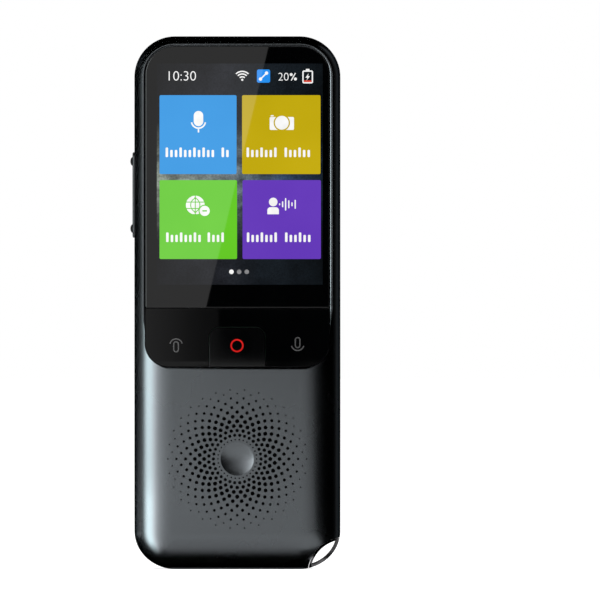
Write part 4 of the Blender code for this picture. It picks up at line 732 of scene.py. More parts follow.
def bite(radius, low=-BEYOND, high=BEYOND):
    """A round about the middle of the lanyard bite."""
    return slab(circle(BITE_X, BITE_Y, radius, BITE_SIDES), low, high)


def cavity(*ledge):
    """The hollow inside the shells, with a wall round the loop and, if given, a ledge."""
    radius = EDGE_RADIUS - WALL
    side = HALF_WIDTH - EDGE_RADIUS
    rings = []
    for angle in edge_angles():
        out = radius * math.cos(angle)
        outline = rounded(-side - out, side + out, EDGE_RADIUS - out, LENGTH - EDGE_RADIUS + out,
                          CORNER_SPREAD + out, steps=CORNER_STEPS)
        rings.append(at_level(outline, radius * math.sin(angle)))
    return carve(loft(rings), bite(BITE_RADIUS + LOOP_LINER + LOOP_GAP + WALL), *ledge)


def lip_outline(inset):
    """The housing's outline at its middle plane, inset."""
    return rounded(-HALF_WIDTH + inset, HALF_WIDTH - inset, inset, LENGTH - inset,
                   EDGE_RADIUS + CORNER_SPREAD - inset, steps=CORNER_STEPS)


def base():
    """The cutter for the base flat."""
    return block(-LENGTH, LENGTH, -LENGTH, 0, -LENGTH, LENGTH)


def shared_cuts():
    """What both shells are cut with: base, lanyard seat, port and side slot."""
    port_hole = pill(PORT_LEFT - FIT, PORT_RIGHT + FIT, 0, (PORT_FRONT - PORT_BACK) / 2 + FIT)
    half = ROCKER_LENGTH / 2 + SIDE_GAP
    side = pill(ROCKER_MIDDLE - half, ROCKER_MIDDLE + half, 0, ROCKER_WIDTH / 2 + SIDE_GAP)
    return [base(), bite(BITE_RADIUS + LOOP_LINER + LOOP_GAP), sweep_y(port_hole, -REACH, WALL + REACH),
            sweep_x(side, -HALF_WIDTH - REACH, -HALF_WIDTH + WALL + REACH)]


def grille():
    """The rosette: rings of chamfered holes, and faint rings of pinholes inside and outside them."""
    above = FRONT + FIT / 4
    under = FRONT - WALL - FIT
    rings = []
    for ring, share in enumerate(HOLE_SHARES):
        radius = LARGEST_HOLE * share / 2
        wide = radius + HOLE_CHAMFER + FIT / 4
        profile = ((radius, under), (radius, FRONT - HOLE_CHAMFER), (wide, above))
        rings.append((FIRST_RING + RING_PITCH * ring, ring % 2, HOLE_SIDES, profile))
    for distance, phase in PIN_RINGS:
        rings.append((distance, phase, HOLE_SIDES // 2, ((PIN_RADIUS, under), (PIN_RADIUS, above))))
    shape = bmesh.new()
    step = 360 / HOLES_PER_RING
    for distance, phase, sides, profile in rings:
        start = 90 if phase else 90 + step / 2
        for index, (x, y) in enumerate(circle(0, SPEAKER_HEIGHT, distance, HOLES_PER_RING, start)):
            add_loft(shape, [at_level(circle(x, y, radius, sides, start + step * index), level)
                             for radius, level in profile])
    return add_mesh(shape)


def dimple():
    """The cutter for the round hollow in the middle of the rosette."""
    sweep = math.asin(DIMPLE_RADIUS / DIMPLE_BALL)
    profile = []
    for step in range(1, EDGE_STEPS + 1):
        angle = sweep * step / EDGE_STEPS
        level = FRONT - DIMPLE_DEPTH + DIMPLE_BALL * (1 - math.cos(angle))
        profile.append((DIMPLE_BALL * math.sin(angle), level))
    profile.append((DIMPLE_RADIUS + FIT / 4, FRONT + FIT / 2))
    return lathe(0, SPEAKER_HEIGHT, profile)


def ramp_profile(proud, bottom, top):
    """The ramp's line as (height, level) points."""
    heights = [bottom + (top - bottom) * step / RAMP_STEPS for step in range(RAMP_STEPS + 1)]
    return [(height, ramp_level(height, proud)) for height in heights]


def opening_outline(grow=0.0):
    """The front opening's outline."""
    wide = OPENING_HALF_WIDTH + grow
    return rounded(-wide, wide, OPENING_BOTTOM - grow, OPENING_TOP + grow, OPENING_LOW_RADIUS + grow,
                   OPENING_TOP_RADIUS + grow)


def quarter(wide, deep):
    """(growth, depth) pairs round the quarter of an oval, from its depth to its width."""
    turns = [math.radians(angle) for angle in LIP_ANGLES]
    return [(wide * (1 - math.cos(turn)), deep * (1 - math.sin(turn))) for turn in turns]


def opening_lip():
    """The cutter that rounds the edge between the lower face and the keys."""
    steps = [(-SEAM_GAP / 2, OPENING_LIP_DEPTH), *quarter(OPENING_LIP_WIDTH, OPENING_LIP_DEPTH),
             (OPENING_LIP_WIDTH, -OVERLAP), (OPENING_LIP_WIDTH, -REACH)]
    return loft([at_level(opening_outline(grow), FRONT - under) for grow, under in steps])


def divided(outline, counts):
    """An outline with each stretch cut into a number of parts."""
    made = []
    for (x0, y0), (x1, y1), count in zip(outline, outline[1:] + outline[:1], counts):
        made += [(x0 + (x1 - x0) * part / count, y0 + (y1 - y0) * part / count) for part in range(count)]
    return made


def rim_round():
    """The cutter that rounds the inner edge of the rim along the screen and down the ramp."""
    edge = opening_outline()
    stretches = zip(edge, edge[1:] + edge[:1])
    counts = [max(1, math.ceil(math.dist(start, end) / RIM_STEP)) for start, end in stretches]
    steps = [(-SEAM_GAP / 2, RIM_ROUND), *quarter(RIM_ROUND, RIM_ROUND), (RIM_ROUND, -OVERLAP)]
    rings = [[(x, y, ramp_level(y) - under) for x, y in divided(opening_outline(grow), counts)]
             for grow, under in steps]
    foot = at_level(divided(opening_outline(-SEAM_GAP / 2), counts), GLASS_BACK)
    return loft([foot, *rings, at_level(divided(opening_outline(RIM_ROUND), counts), BEYOND)])


def front_shell():
    """The front moulding."""
    far = LENGTH + REACH
    step = [(KEY_BOTTOM, BEYOND), *ramp_profile(0, KEY_BOTTOM, KEY_TOP), (far, DISPLAY_LEVEL), (far, BEYOND)]
    outer, inner = WALL - LIP_THICKNESS, WALL + OVERLAP
    lip = loft([at_level(lip_outline(inset), level) for inset, level in (
        (outer, -LIP_DEPTH), (outer, WALL), (inner, WALL), (inner, -LIP_DEPTH))], closed=True)
    ledge = block(-HALF_WIDTH, HALF_WIDTH, KEY_TOP, LENGTH, GLASS_BACK - FIT, BEYOND)
    mic = circle(*LOWER_MIC, SOUND_HOLE_RADIUS, HOLE_SIDES)
    shell = carve(outer_form(), block(-LENGTH, LENGTH, -LENGTH, 2 * LENGTH, -LENGTH, SEAM / 2), cavity(ledge),
                  sweep_x(step, -LENGTH, LENGTH), slab(opening_outline(), GLASS_BACK - FIT, BEYOND),
                  opening_lip(), rim_round(), ("UNION", lip), *shared_cuts(),
                  sweep_y(mic, -REACH, WALL + REACH), grille(), dimple())
    piece(shell, "front_shell_fine", "slate", "housing", ["front_shell"],
          [pillow_skin, dimple_skin, ramp_skin(0)])


def plate_outline(inset):
    """The camera plate's long round outline."""
    radius = (PLATE_TOP_END - PLATE_BOTTOM) / 2
    return pill(PLATE_LEFT + inset, PLATE_RIGHT - inset, CAMERA_HEIGHT, radius - inset)


def back_shell():
    """The back moulding."""
    mic = circle(*UPPER_MIC, SOUND_HOLE_RADIUS, HOLE_SIDES)
    rebate = lip_outline(WALL - LIP_THICKNESS - FIT)
    shell = carve(outer_form(), block(-LENGTH, LENGTH, -LENGTH, 2 * LENGTH, -SEAM / 2, LENGTH), cavity(),
                  slab(rebate, -LIP_DEPTH - FIT, FRONT), *shared_cuts(),
                  sweep_y(mic, LENGTH - WALL - REACH, LENGTH + REACH),
                  slab(plate_outline(-FIT / 2), -BEYOND, -FRONT + PLATE_POCKET))
    piece(shell, "back_shell_fine", "slate", "housing", ["back_shell"], [pillow_skin])


# Screen

def cover_glass():
    """The black cover glass with a rounded rim."""
    def outline(inset):
        return rounded(GLASS_LEFT + inset, GLASS_RIGHT - inset, GLASS_BOTTOM + inset, GLASS_TOP_END - inset,
                       SEAM_GAP + KEY_EDGE - inset, OPENING_TOP_RADIUS - SEAM_GAP - inset)
    steps = [(0, GLASS_BACK), *fillet(GLASS_FACE, KEY_EDGE, 4)]
    glass = loft([at_level(outline(inset), level) for inset, level in steps])
    piece(glass, "cover_glass", "glass", "housing", ["screen_glass"])


ACTIVE_LEFT = LCD_LEFT + 0.75 * MM
ACTIVE_RIGHT = LCD_RIGHT - 0.75 * MM
ACTIVE_BOTTOM = LCD_BOTTOM + 2.5 * MM
ACTIVE_TOP = LCD_TOP_END - 1.4 * MM
SINK = 0.004 * MM
PICTURE_LEVEL = GLASS_FACE + 0.010 * MM
TILE_LEVEL = GLASS_FACE + 0.022 * MM
ICON_LEVEL = GLASS_FACE + 0.032 * MM
TILE_CORNER = 0.33 * MM
# Photo pixels of the tiles: left, right, upper and lower edge
TILES = {"blue": (159.4, 236.5, 95.0, 174.0), "yellow": (242.0, 320.5, 95.0, 174.0),
         "green": (159.4, 237.0, 180.0, 259.0), "purple": (242.5, 320.9, 180.0, 259.0)}
# Captions: the photo row they stand on, and the left edge and number of marks of each word
LABELS = {"blue": (157.0, (165.5, 11), (221.5, 2)), "yellow": (157.0, (246.5, 7), (284.5, 6)),
          "green": (242.0, (166.0, 8), (207.5, 4)), "purple": (242.0, (246.8, 7), (285.0, 6))}
LABEL_PITCH = 4.6
LABEL_MARK = 2.5
LABEL_CORNER = 0.9
LABEL_HEIGHTS = (9.6, 7.2, 7.2, 9.6, 7.2, 7.2, 9.6, 7.2)
# Places of the signs in the photo
MICROPHONE = (198.4, 118.4)
CAMERA = (281.8, 122.6)
GLOBE = (195.2, 205.0)
GLOBE_BADGE = (204.6, 210.8)
HEAD = (273.2, 201.9)
FAN = (242.2, 79.6)
BADGE_CORNER = (256.9, 82.5)
BADGE_MARK = (263.5, 75.9)
PERCENT = (293.3, 76.6)
BATTERY = (303.0, 82.6)
# Sound bars: the row of their middles, and the place across and height of each
SOUND_ROW = 204.2
SOUND_BARS = ((279.6, 2.0), (282.6, 6.0), (285.6, 12.5), (288.8, 8.0), (292.0, 4.0), (295.2, 9.0))
# Numbers: what they say, and their left, right, upper and lower edge in the photo
NUMBERS = {"clock_digits": ("10:30", 168.6, 195.9, 71.0, 80.4),
           "charge_digits": ("20", 278.3, 288.6, 72.6, 80.4)}
FONT_THICKNESS = 0.02
FONT_OFFSET = -0.012
PAGE_DOTS = ((231.4, "white"), (239.1, "dim"), (246.7, "dim"))
PAGE_ROW = 271.8
PAGE_DOT_RADIUS = 2.3


def stroke(path, width, level, depth, closed=False):
    """A flat ribbon along a path on a surface, whose level may depend on the height."""
    count = len(path)
    rings = []
    for index, (x, y) in enumerate(path):
        before = path[(index - 1) % count] if closed or index else path[index]
        after = path[(index + 1) % count] if closed or index < count - 1 else path[index]
        along = Vector((after[0] - before[0], after[1] - before[1])).normalized()
        across = Vector((-along.y, along.x)) * width / 2
        left = (x + across.x, y + across.y)
        right = (x - across.x, y - across.y)
        rings.append([(*left, level(left[1])), (*right, level(right[1])),
                      (*right, level(right[1]) - depth), (*left, level(left[1]) - depth)])
    return loft(rings, closed)


class Sign:
    """Flat parts between two levels, drawn in pixels to the right of a place in the photo and up from it."""

    def __init__(self, place, base=TILE_LEVEL, top=ICON_LEVEL):
        self.x, self.y = seen(*place)
        self.low = base - SINK
        self.high = top

    def at(self, x, y):
        """A place of the sign in the drawing."""
        return self.x + x * PIXEL, self.y + y * PIXEL

    def plate(self, points):
        """A part with an outline."""
        return slab([self.at(*point) for point in points], self.low, self.high)

    def disc(self, x, y, radius, sides=HOLE_SIDES):
        """A round part."""
        return self.plate(circle(x, y, radius, sides))

    def box(self, left, right, bottom, top):
        """A part with four sharp corners."""
        return self.plate([(left, bottom), (right, bottom), (right, top), (left, top)])

    def line(self, path, width, closed=False):
        """A ribbon along a path."""
        return stroke([self.at(*point) for point in path], width * PIXEL, lambda height: self.high,
                      self.high - self.low, closed)


def cutter(place):
    """A sign that is cut out of signs on the tiles."""
    return Sign(place, TILE_LEVEL - SINK, ICON_LEVEL + SINK)


def microphone():
    """A microphone with its cup and stem."""
    sign = Sign(MICROPHONE)
    wide, tall = 4.75, 7.6
    line = 1.5
    return [sign.plate(rounded(-wide, wide, -tall, tall, wide, steps=10)),
            sign.line(arc(0, -2.6, 7.0, 190, 350, 24), line), sign.box(-line / 2, line / 2, -13.9, -10.6)]


def camera():
    """A camera with a gap round its eye."""
    sign = Sign(CAMERA)
    half, low, high = 12.2, -7.2, 5.76
    key_low, key_high = 6.3, 7.6
    eye, gap = 6.9, 8.2
    body = sign.plate(rounded(-half, half, low, high, 1.3, steps=5))
    return [carve(body, cutter(CAMERA).disc(0, 0, gap, 48)), sign.disc(0, 0, eye, 48),
            sign.plate(rounded(1 - half, 4 - half, key_low, key_high, 0.4, steps=3))]


def globe():
    """A globe with its lines cut out, and a small round badge with a bar."""
    radius, cut, line = 9.4, 0.45, 0.9
    tool = cutter(GLOBE)
    cuts = [tool.box(-radius, radius, -2 * radius, -9.0), cutter(GLOBE_BADGE).disc(0, 0, 6.2, 40)]
    cuts += [tool.box(-radius, radius, row - cut, row + cut) for row in (-3.4, 3.0)]
    cuts.append(tool.box(-cut, cut, -radius, radius))
    cuts += [tool.line(arc(x, 0, 7.6, turn - 75, turn + 75, 20), line) for x, turn in ((3.0, 180), (-3.0, 0))]
    ball = carve(Sign(GLOBE).disc(0, 0, radius, 56), *cuts)
    mark = cutter(GLOBE_BADGE).line([(-2.3, 0), (2.3, 0)], 1.4)
    return [ball, carve(Sign(GLOBE_BADGE).disc(0, 0, 5.1, 40), mark)]


def speaking():
    """A speaker's bust with sound bars."""
    sign = Sign(HEAD)
    parts = [sign.disc(0, 0, 4.3, 36), sign.plate(rounded(-5.9, 5.7, -12.3, -5.2, 0.5, 3.2, steps=8))]
    half, corner = 0.65, 0.6
    for px, tall in SOUND_BARS:
        parts.append(Sign((px, SOUND_ROW)).plate(rounded(-half, half, -tall / 2, tall / 2, corner, steps=3)))
    return parts


def tile_labels():
    """Plain marks where the tiles have their captions."""
    for tile, (row, *words) in LABELS.items():
        marks = []
        for start, count in words:
            for index in range(count):
                tall = LABEL_HEIGHTS[index % len(LABEL_HEIGHTS)]
                mark = rounded(0, LABEL_MARK, 0, tall, LABEL_CORNER, steps=4)
                marks.append(Sign((start + LABEL_PITCH * index, row)).plate(mark))
        piece(join(marks), "caption_marks_" + tile, "white")


def digits(name, text, left, right, high, low):
    """Plain numbers fitted into a box given by photo pixels."""
    curve = bpy.data.curves.new(name, "FONT")
    curve.body = text
    curve.extrude = FONT_THICKNESS
    curve.offset = FONT_OFFSET
    made = put(name, curve)
    graph = bpy.context.evaluated_depsgraph_get()
    mesh = bpy.data.meshes.new_from_object(made.evaluated_get(graph))
    bpy.data.objects.remove(made, do_unlink=True)
    least = [min(vertex.co[axis] for vertex in mesh.vertices) for axis in range(3)]
    most = [max(vertex.co[axis] for vertex in mesh.vertices) for axis in range(3)]
    start = (*seen(left, low), PICTURE_LEVEL - SINK)
    end = (*seen(right, high), ICON_LEVEL)
    for vertex in mesh.vertices:
        vertex.co = [start[axis] + (vertex.co[axis] - least[axis]) * (end[axis] - start[axis])
                     / (most[axis] - least[axis]) for axis in range(3)]
    shape = bmesh.new()
    shape.from_mesh(mesh)
    bmesh.ops.remove_doubles(shape, verts=shape.verts, dist=SINK / 10)
    piece(add_mesh(shape), name, "white")


def status_bar():
    """Clock, signal fan, a plain badge, charge and a battery sign."""
    for name, row in NUMBERS.items():
        digits(name, *row)
    sign = Sign(FAN, PICTURE_LEVEL)
    line = 1.3
    waves = [sign.line(arc(0, -0.6, reach, 46, 134, 18), line) for reach in (3.6, 6.4, 9.0)]
    piece(join([sign.disc(0, 0, 1.1), *waves]), "signal_fan", "white")
    side = 13.2
    plate = Sign(BADGE_CORNER, PICTURE_LEVEL, TILE_LEVEL).plate(rounded(0, side, 0, side, 1.8, steps=6))
    piece(plate, "status_badge", "badge")
    sign = Sign(BADGE_MARK)
    arm, end, dot = 2.6, 3.0, 1.7
    link = [sign.line([(-arm, -arm), (arm, arm)], line), sign.disc(-end, -end, dot), sign.disc(end, end, dot)]
    piece(join(link), "status_badge_mark", "white")
    sign = Sign(PERCENT, PICTURE_LEVEL)
    x, y, tall = 2.1, 2.2, 3.8
    percent = [sign.disc(-x, y, 1.5), sign.disc(x, -y, 1.5), sign.line([(-x, -tall), (x, tall)], 1.0)]
    piece(join(percent), "charge_percent", "white")
    sign = Sign(BATTERY, PICTURE_LEVEL)
    wide, tall, corner = 9.4, 11.7, 0.3
    bolt = [(5.6, 9.4), (2.4, 5.0), (4.4, 5.0), (3.6, 2.2), (6.9, 6.7), (4.9, 6.7)]
    case = [sign.line(rounded(0, wide, 0, tall, 1, steps=4), line, closed=True),
            sign.plate(rounded(2.9, 6.5, 12.3, 13.9, corner, steps=3)), sign.plate(bolt)]
    piece(join(case), "battery_sign", "white")
    piece(sign.plate(rounded(0.9, 8.5, 0.7, 2.4, corner, steps=3)), "battery_level", "low")


def screen():
    """The picture, the tiles, their signs and the page dots."""
    area = rounded(ACTIVE_LEFT, ACTIVE_RIGHT, ACTIVE_BOTTOM, ACTIVE_TOP, TILE_CORNER / 4, steps=3)
    piece(slab(area, GLASS_FACE - SINK, PICTURE_LEVEL), "screen_picture", "picture")
    for name, (left, right, high, low) in TILES.items():
        outline = rounded(0, right - left, 0, low - high, TILE_CORNER / PIXEL, steps=6)
        tile = Sign((left, low), PICTURE_LEVEL, TILE_LEVEL).plate(outline)
        piece(tile, "tile_" + name, name)
    for index, (px, tone) in enumerate(PAGE_DOTS):
        dot = Sign((px, PAGE_ROW), PICTURE_LEVEL).disc(0, 0, PAGE_DOT_RADIUS, 28)
        piece(dot, "page_dot_" + str(index + 1), tone)
    for draw in (microphone, camera, globe, speaking):
        piece(join(draw()), "icon_" + draw.__name__, "white")
    tile_labels()
    status_bar()


# Keys

SIGN_RAISE = 0.012 * MM
SIGN_STROKE = 1.15 * PIXEL
RED_RING = (237.0, 345.6)
RED_RING_RADIUS = 5.8 * PIXEL
RED_RING_WIDTH = 1.55 * PIXEL
LEFT_SIGN = (176.05, 346.8)
RIGHT_SIGN = (297.6, 342.6)
SIGN_HALF_WIDTH = 2.3 * PIXEL
SIGN_HALF_HEIGHT = 5.0 * PIXEL
CUP_RADIUS = 6.3 * PIXEL
CUP_LIFT = 1.6 * PIXEL


def home_outline(grow=0.0, bottom=KEY_BOTTOM):
    """The home button's outline, open to the ramp's lower edge."""
    half = HOME_WIDTH / 2 + grow
    return rounded(-half, half, bottom, HOME_TOP + grow, KEY_EDGE, HOME_CORNER + grow)


def ramp_cap(proud, top, foot, outline, *cuts):
    """A solid under the ramp's line, within an outline."""
    profile = [(top, foot), (KEY_BOTTOM, foot)] + ramp_profile(proud, KEY_BOTTOM, top)
    return carve(sweep_x(profile, -HALF_WIDTH, HALF_WIDTH), ("INTERSECT", slab(outline, 0, BEYOND)), *cuts)


def talk_keys():
    """The glossy key plate that carries both talk keys."""
    outline = rounded(-GLASS_RIGHT, GLASS_RIGHT, KEY_BOTTOM, KEY_TOP, OPENING_LOW_RADIUS - SEAM_GAP, KEY_EDGE)
    slot = slab(home_outline(SEAM_GAP, KEY_BOTTOM - REACH), 0, BEYOND)
    keys = ramp_cap(0, KEY_TOP, DISPLAY_LEVEL - KEY_PLATE, outline, slot)
    bevel(keys, KEY_EDGE * TALK_EDGE_SHARE, 3)
    piece(keys, "talk_keys_fine", "talk", "talk_keys", ["talk_rocker"], [ramp_skin(0)])


def home_key():
    """The home button's cap."""
    button = ramp_cap(HOME_PROUD, HOME_TOP, HOME_FOOT + HOME_PROUD, home_outline())
    bevel(button, KEY_EDGE, 3)
    piece(button, "home_key_fine", "home", "home_key", ["home_button"], [ramp_skin(HOME_PROUD)])


def key_signs():
    """The red ring on the home button and the grey signs on the talk keys."""
    def ribbon(path, width, proud, closed):
        return stroke(path, width, lambda height: ramp_level(height, proud + SIGN_RAISE), 4 * SIGN_RAISE,
                      closed)

    ring = circle(*seen(*RED_RING), RED_RING_RADIUS, 72)
    piece(ribbon(ring, RED_RING_WIDTH, HOME_PROUD, True), "home_ring", "red", "home_key")
    signs = (("left", LEFT_SIGN, 15, CUP_LIFT), ("right", RIGHT_SIGN, 195, -CUP_LIFT))
    for name, place, start, lift in signs:
        x, y = seen(*place)
        body = rounded(x - SIGN_HALF_WIDTH, x + SIGN_HALF_WIDTH, y - SIGN_HALF_HEIGHT, y + SIGN_HALF_HEIGHT,
                       SIGN_HALF_WIDTH, steps=10)
        cup = arc(x, y + lift, CUP_RADIUS, start, start + 150, 28)
        parts = [ribbon(body, SIGN_STROKE, 0, True), ribbon(cup, SIGN_STROKE, 0, False)]
        piece(join(parts), "talk_sign_" + name, "print", "talk_keys")


def volume_key():
    """The side rocker with a rounded face, and its two domed rubber studs."""
    rings = []
    for inset, x in [(0, -HALF_WIDTH + WALL + FIT), *fillet(ROCKER_FACE, ROCKER_ROUND, 6, -1)]:
        half = ROCKER_LENGTH / 2 - inset
        outline = pill(ROCKER_MIDDLE - half, ROCKER_MIDDLE + half, 0, ROCKER_WIDTH / 2 - inset)
        rings.append(at_side(outline, x))
    piece(loft(rings), "volume_rocker_fine", "side", "volume_key", ["volume_rocker"])
    for name in ("up", "down"):
        tip, _, bottom, top, _, _ = span("volume_stud_" + name)
        shoulder = tip + STUD_RADIUS * STUD_DOME_SHARE
        steps = [(ROCKER_FACE + FIT, 1.0), (shoulder, 1.0)]
        for turn in [math.radians(angle) for angle in range(8, 90, 8)]:
            steps.append((shoulder + (tip - shoulder) * math.sin(turn), math.cos(turn)))
        middle = (bottom + top) / 2
        stud = loft([at_side(circle(middle, 0, STUD_RADIUS * share, 32), x) for x, share in steps])
        piece(stud, "volume_stud_fine_" + name, "rubber", "volume_key", ["volume_stud_" + name])


# Loop, camera and port

def lanyard_loop():
    """The polished insert in the corner and its bar."""
    centre_x = HALF_WIDTH - CORNER_RADIUS
    centre_y = CORNER_RADIUS - BASE_CUT
    distance = math.hypot(BITE_X - centre_x, BITE_Y - centre_y)
    towards = math.degrees(math.atan2(BITE_Y - centre_y, BITE_X - centre_x))
    outer = CORNER_RADIUS - LOOP_GAP / 4
    share = (outer ** 2 + distance ** 2 - BITE_RADIUS ** 2) / (2 * outer * distance)
    spread = math.degrees(math.acos(share)) + LOOP_BAR_OVERLAP_DEGREES
    line = []
    for radius, side in ((outer, 1), (outer - LOOP_BAR_THICKNESS, -1)):
        line += oval_arc(centre_x, centre_y, radius, radius - BASE_CUT, towards - side * spread,
                         towards + side * spread, 24)
    bar = carve(slab(line, -LOOP_BAR_WIDTH / 2, LOOP_BAR_WIDTH / 2),
                ("INTERSECT", bite(BITE_RADIUS + LOOP_LINER / 2)))
    loop = carve(outer_form(), ("INTERSECT", bite(BITE_RADIUS + LOOP_LINER)),
                 bite(BITE_RADIUS, -LENGTH, LENGTH), ("UNION", bar), base())
    bevel(loop, LOOP_EDGE, 2)
    piece(loop, "lanyard_loop_fine", "trim", "housing", ["lanyard_loop"], [pillow_skin])


def camera_side():
    """The plate, ring, lens and light on the back."""
    ring_radius = (RING_RIGHT - RING_LEFT) / 2
    flash_radius = (PIPE_RIGHT - PIPE_LEFT) / 2
    steps = [(0, PLATE_SEAT), *fillet(PLATE_FACE, PLATE_ROUND, 5, -1)]
    holes = [slab(circle(x, CAMERA_HEIGHT, radius + FIT / 2, ROUND_SIDES), -BEYOND, 0)
             for x, radius in ((CAMERA_X, ring_radius), (FLASH_X, flash_radius))]
    plate = carve(loft([at_level(plate_outline(inset), level) for inset, level in steps]), *holes)
    piece(plate, "camera_plate_fine", "talk", "housing", ["camera_plate"])
    inner = ring_radius - RING_WIDTH
    edge = fillet(RING_FACE, RING_ROUND, 5, -1)
    profile = [(ring_radius, RING_SEAT), *[(ring_radius - inset, level) for inset, level in edge]]
    profile += [*[(inner + inset, level) for inset, level in reversed(edge)], (inner, RING_SEAT)]
    piece(lathe(CAMERA_X, CAMERA_HEIGHT, profile, closed=True), "camera_ring_fine", "chrome", "housing",
          ["camera_ring"])
    face, step = WINDOW_FACE, EYE_STEP
    window = (WINDOW_RIGHT - WINDOW_LEFT) / 2
    profile = [(window, WINDOW_BACK), (window, face + step / 2), (window - step / 2, face),
               (EYE_RADIUS + 3 * step, face), (EYE_RADIUS + 2 * step, face + step),
               (EYE_RADIUS + step, face + step)]
    for turn in [math.radians(angle) for angle in range(0, 90, 10)]:
        profile.append((EYE_RADIUS * math.cos(turn), face + step * (1 - math.sin(turn))))
    piece(lathe(CAMERA_X, CAMERA_HEIGHT, profile), "camera_lens", "lens", "housing",
          ["camera_window"])
    face = PIPE_FACE
    profile = [(flash_radius, PIPE_BACK), (flash_radius, face + step / 2), (flash_radius - step / 2, face)]
    for share in FLASH_GROOVE_SHARES:
        profile += [(flash_radius * (share + GROOVE_HALF_SHARE), face),
                    (flash_radius * share, face + step / 3),
                    (flash_radius * (share - GROOVE_HALF_SHARE), face)]
    piece(lathe(FLASH_X, CAMERA_HEIGHT, profile), "flash_lens", "diffuser", "housing",
          ["flash_pipe"])


def port():
    """The charging socket: a drawn metal shell with a rounded mouth, and its tongue."""
    radius = (PORT_FRONT - PORT_BACK) / 2
    half = PORT_LIP / 2
    steps = ((0, PORT_END), (0, PORT_MOUTH + PORT_LIP), (half, PORT_MOUTH), (PORT_WALL - half, PORT_MOUTH),
             (PORT_WALL, PORT_MOUTH + PORT_LIP), (PORT_WALL, PORT_END))
    rings = [at_height(pill(PORT_LEFT + inset, PORT_RIGHT - inset, 0, radius - inset), y)
             for inset, y in steps]
    piece(loft(rings, closed=True), "port_shell", "steel", "housing", ["usb_shell"])
    rings = []
    for inset, y in ((TONGUE_EDGE, TONGUE_TIP), (0, TONGUE_TIP + TONGUE_EDGE), (0, TONGUE_ROOT)):
        wide, thick = TONGUE_HALF_WIDTH - inset, TONGUE_HALF_THICKNESS - inset
        rings.append(at_height(rounded(-wide, wide, -thick, thick, TONGUE_EDGE / 2, steps=4), y))
    piece(loft(rings), "port_tongue", "plastic", "housing", ["usb_tongue"])


# Studio

IMAGE_PIXELS = 600
CAMERA_DISTANCE = 2.5
CAMERA_SIDEWAYS = (IMAGE_PIXELS / 2 - PHOTO_MIDDLE) * PIXEL
CAMERA_UP = (PHOTO_BASE - IMAGE_PIXELS / 2) * PIXEL
CAMERA_CLIP = 0.01
SENSOR = 36.0
FLOOR_SIZE = 12.0
FLOOR_GLOW = 0.62
FLOOR_COLOUR = (0.8, 0.8, 0.8, 1)
WORLD_FILL = 0.55
CARD_DISTANCE = 0.5
CARD_TOP = 1.0
CARD_LIFT = 0.3 * MM
COOL = (0.88, 1.0, 1.0)
NEUTRAL = (1.0, 0.99, 1.0)
BLACK = (0.0, 0.0, 0.0)
WHITE = (1, 1, 1, 1)
# Upright strips round the device: from and to azimuth (0 on the camera's side, + towards +X), colour and
# brightness
STRIPS = (
    (-180, -100, BLACK, 0.0), (-100, -88, NEUTRAL, 0.02), (-88, -78, NEUTRAL, 0.2), (-78, -71, COOL, 0.9),
    (-71, -62, COOL, 6.5), (-62, -50, COOL, 13.0), (-50, -40, COOL, 12.5), (-40, -31, NEUTRAL, 8.0),
    (-31, -22, NEUTRAL, 3.2), (-22, -14, NEUTRAL, 2.2), (-14, -6, NEUTRAL, 1.5),
    (5, 12, NEUTRAL, 0.6), (12, 20, NEUTRAL, 0.15), (20, 90, BLACK, 0.0), (92, 140, NEUTRAL, 15.0),
    (140, 156, NEUTRAL, 8.0), (156, 168, NEUTRAL, 2.0), (168, 180, BLACK, 0.0),
)
STRIP_ARC = 15.0
# Photo pixels: the edge of the gloss on the glass, and a place right of the glass
GLOSS_LINE = ((268.5, 46.0), (206.0, 307.0))
GLOSS_END = (345.0, 300.0)
KEY_CARD_REACH = 92 * MM
# Brightness across the card over the keys, which ends where the gloss line runs on
KEY_CARD_STOPS = ((-23 * MM, 1.15), (-16 * MM, 0.72), (-11 * MM, 0.42), (-7.5 * MM, 0.26), (-4.4 * MM, 0.2),
                  (-4.0 * MM, 0.0), (23 * MM, 0.0))
# Brightness of the divider by the distance from the side, and of the card above by the distance behind
# the middle
SIDE_STOPS = ((0.0, 0.8), (2.5 * MM, 0.5), (6 * MM, 0.25), (13 * MM, 0.05), (30 * MM, 0.02))
TOP_STOPS = ((5 * MM, 0.0), (12 * MM, 0.25), (30 * MM, 0.7), (60 * MM, 1.0))
# The strips run on over the ground, where they fade towards the device
GROUND_CORNER = (-18.0 * MM, -5.8 * MM)
SIDE_GROUND_STOPS = ((1.5 * MM, 0.0), (3 * MM, 0.09), (5 * MM, 0.2), (10 * MM, 0.58), (15 * MM, 0.88),
                     (20 * MM, 1.0))
FRONT_GROUND_STOPS = ((1.5 * MM, 0.0), (3 * MM, 0.12), (5 * MM, 0.5), (10 * MM, 0.95), (20 * MM, 1.0))
GROUND_FROM = -100
FRONT_GROUND = -40
GROUND_END = 14 * MM
GROUND_DEPTH = 40 * MM
GROUND_REACH = 60 * MM
GROUND_WALL = 13 * MM
GROUND_FRONT_LIGHT = 1.2
LOOP_CARD = (16.6 * MM, 27 * MM, -6 * MM, 6 * MM, 2 * CARD_LIFT, NEUTRAL, 2.5)
FOOT_FLAG = 7 * MM
# Lamps: place, and power in watts
LAMPS = {"lamp_left": ((-0.6, -0.8, 0.9), 9.0), "lamp_right": ((0.7, -0.6, 0.8), 6.0)}
LAMP_SIZE = 0.8


def path_factor(net):
    """One where a ray comes from the camera, a mirror or glass, else zero."""
    path = net.node("LightPath").outputs
    factor = net.maths("MAXIMUM", path["Is Camera Ray"], path["Is Glossy Ray"])
    return net.maths("MAXIMUM", factor, path["Is Transmission Ray"])


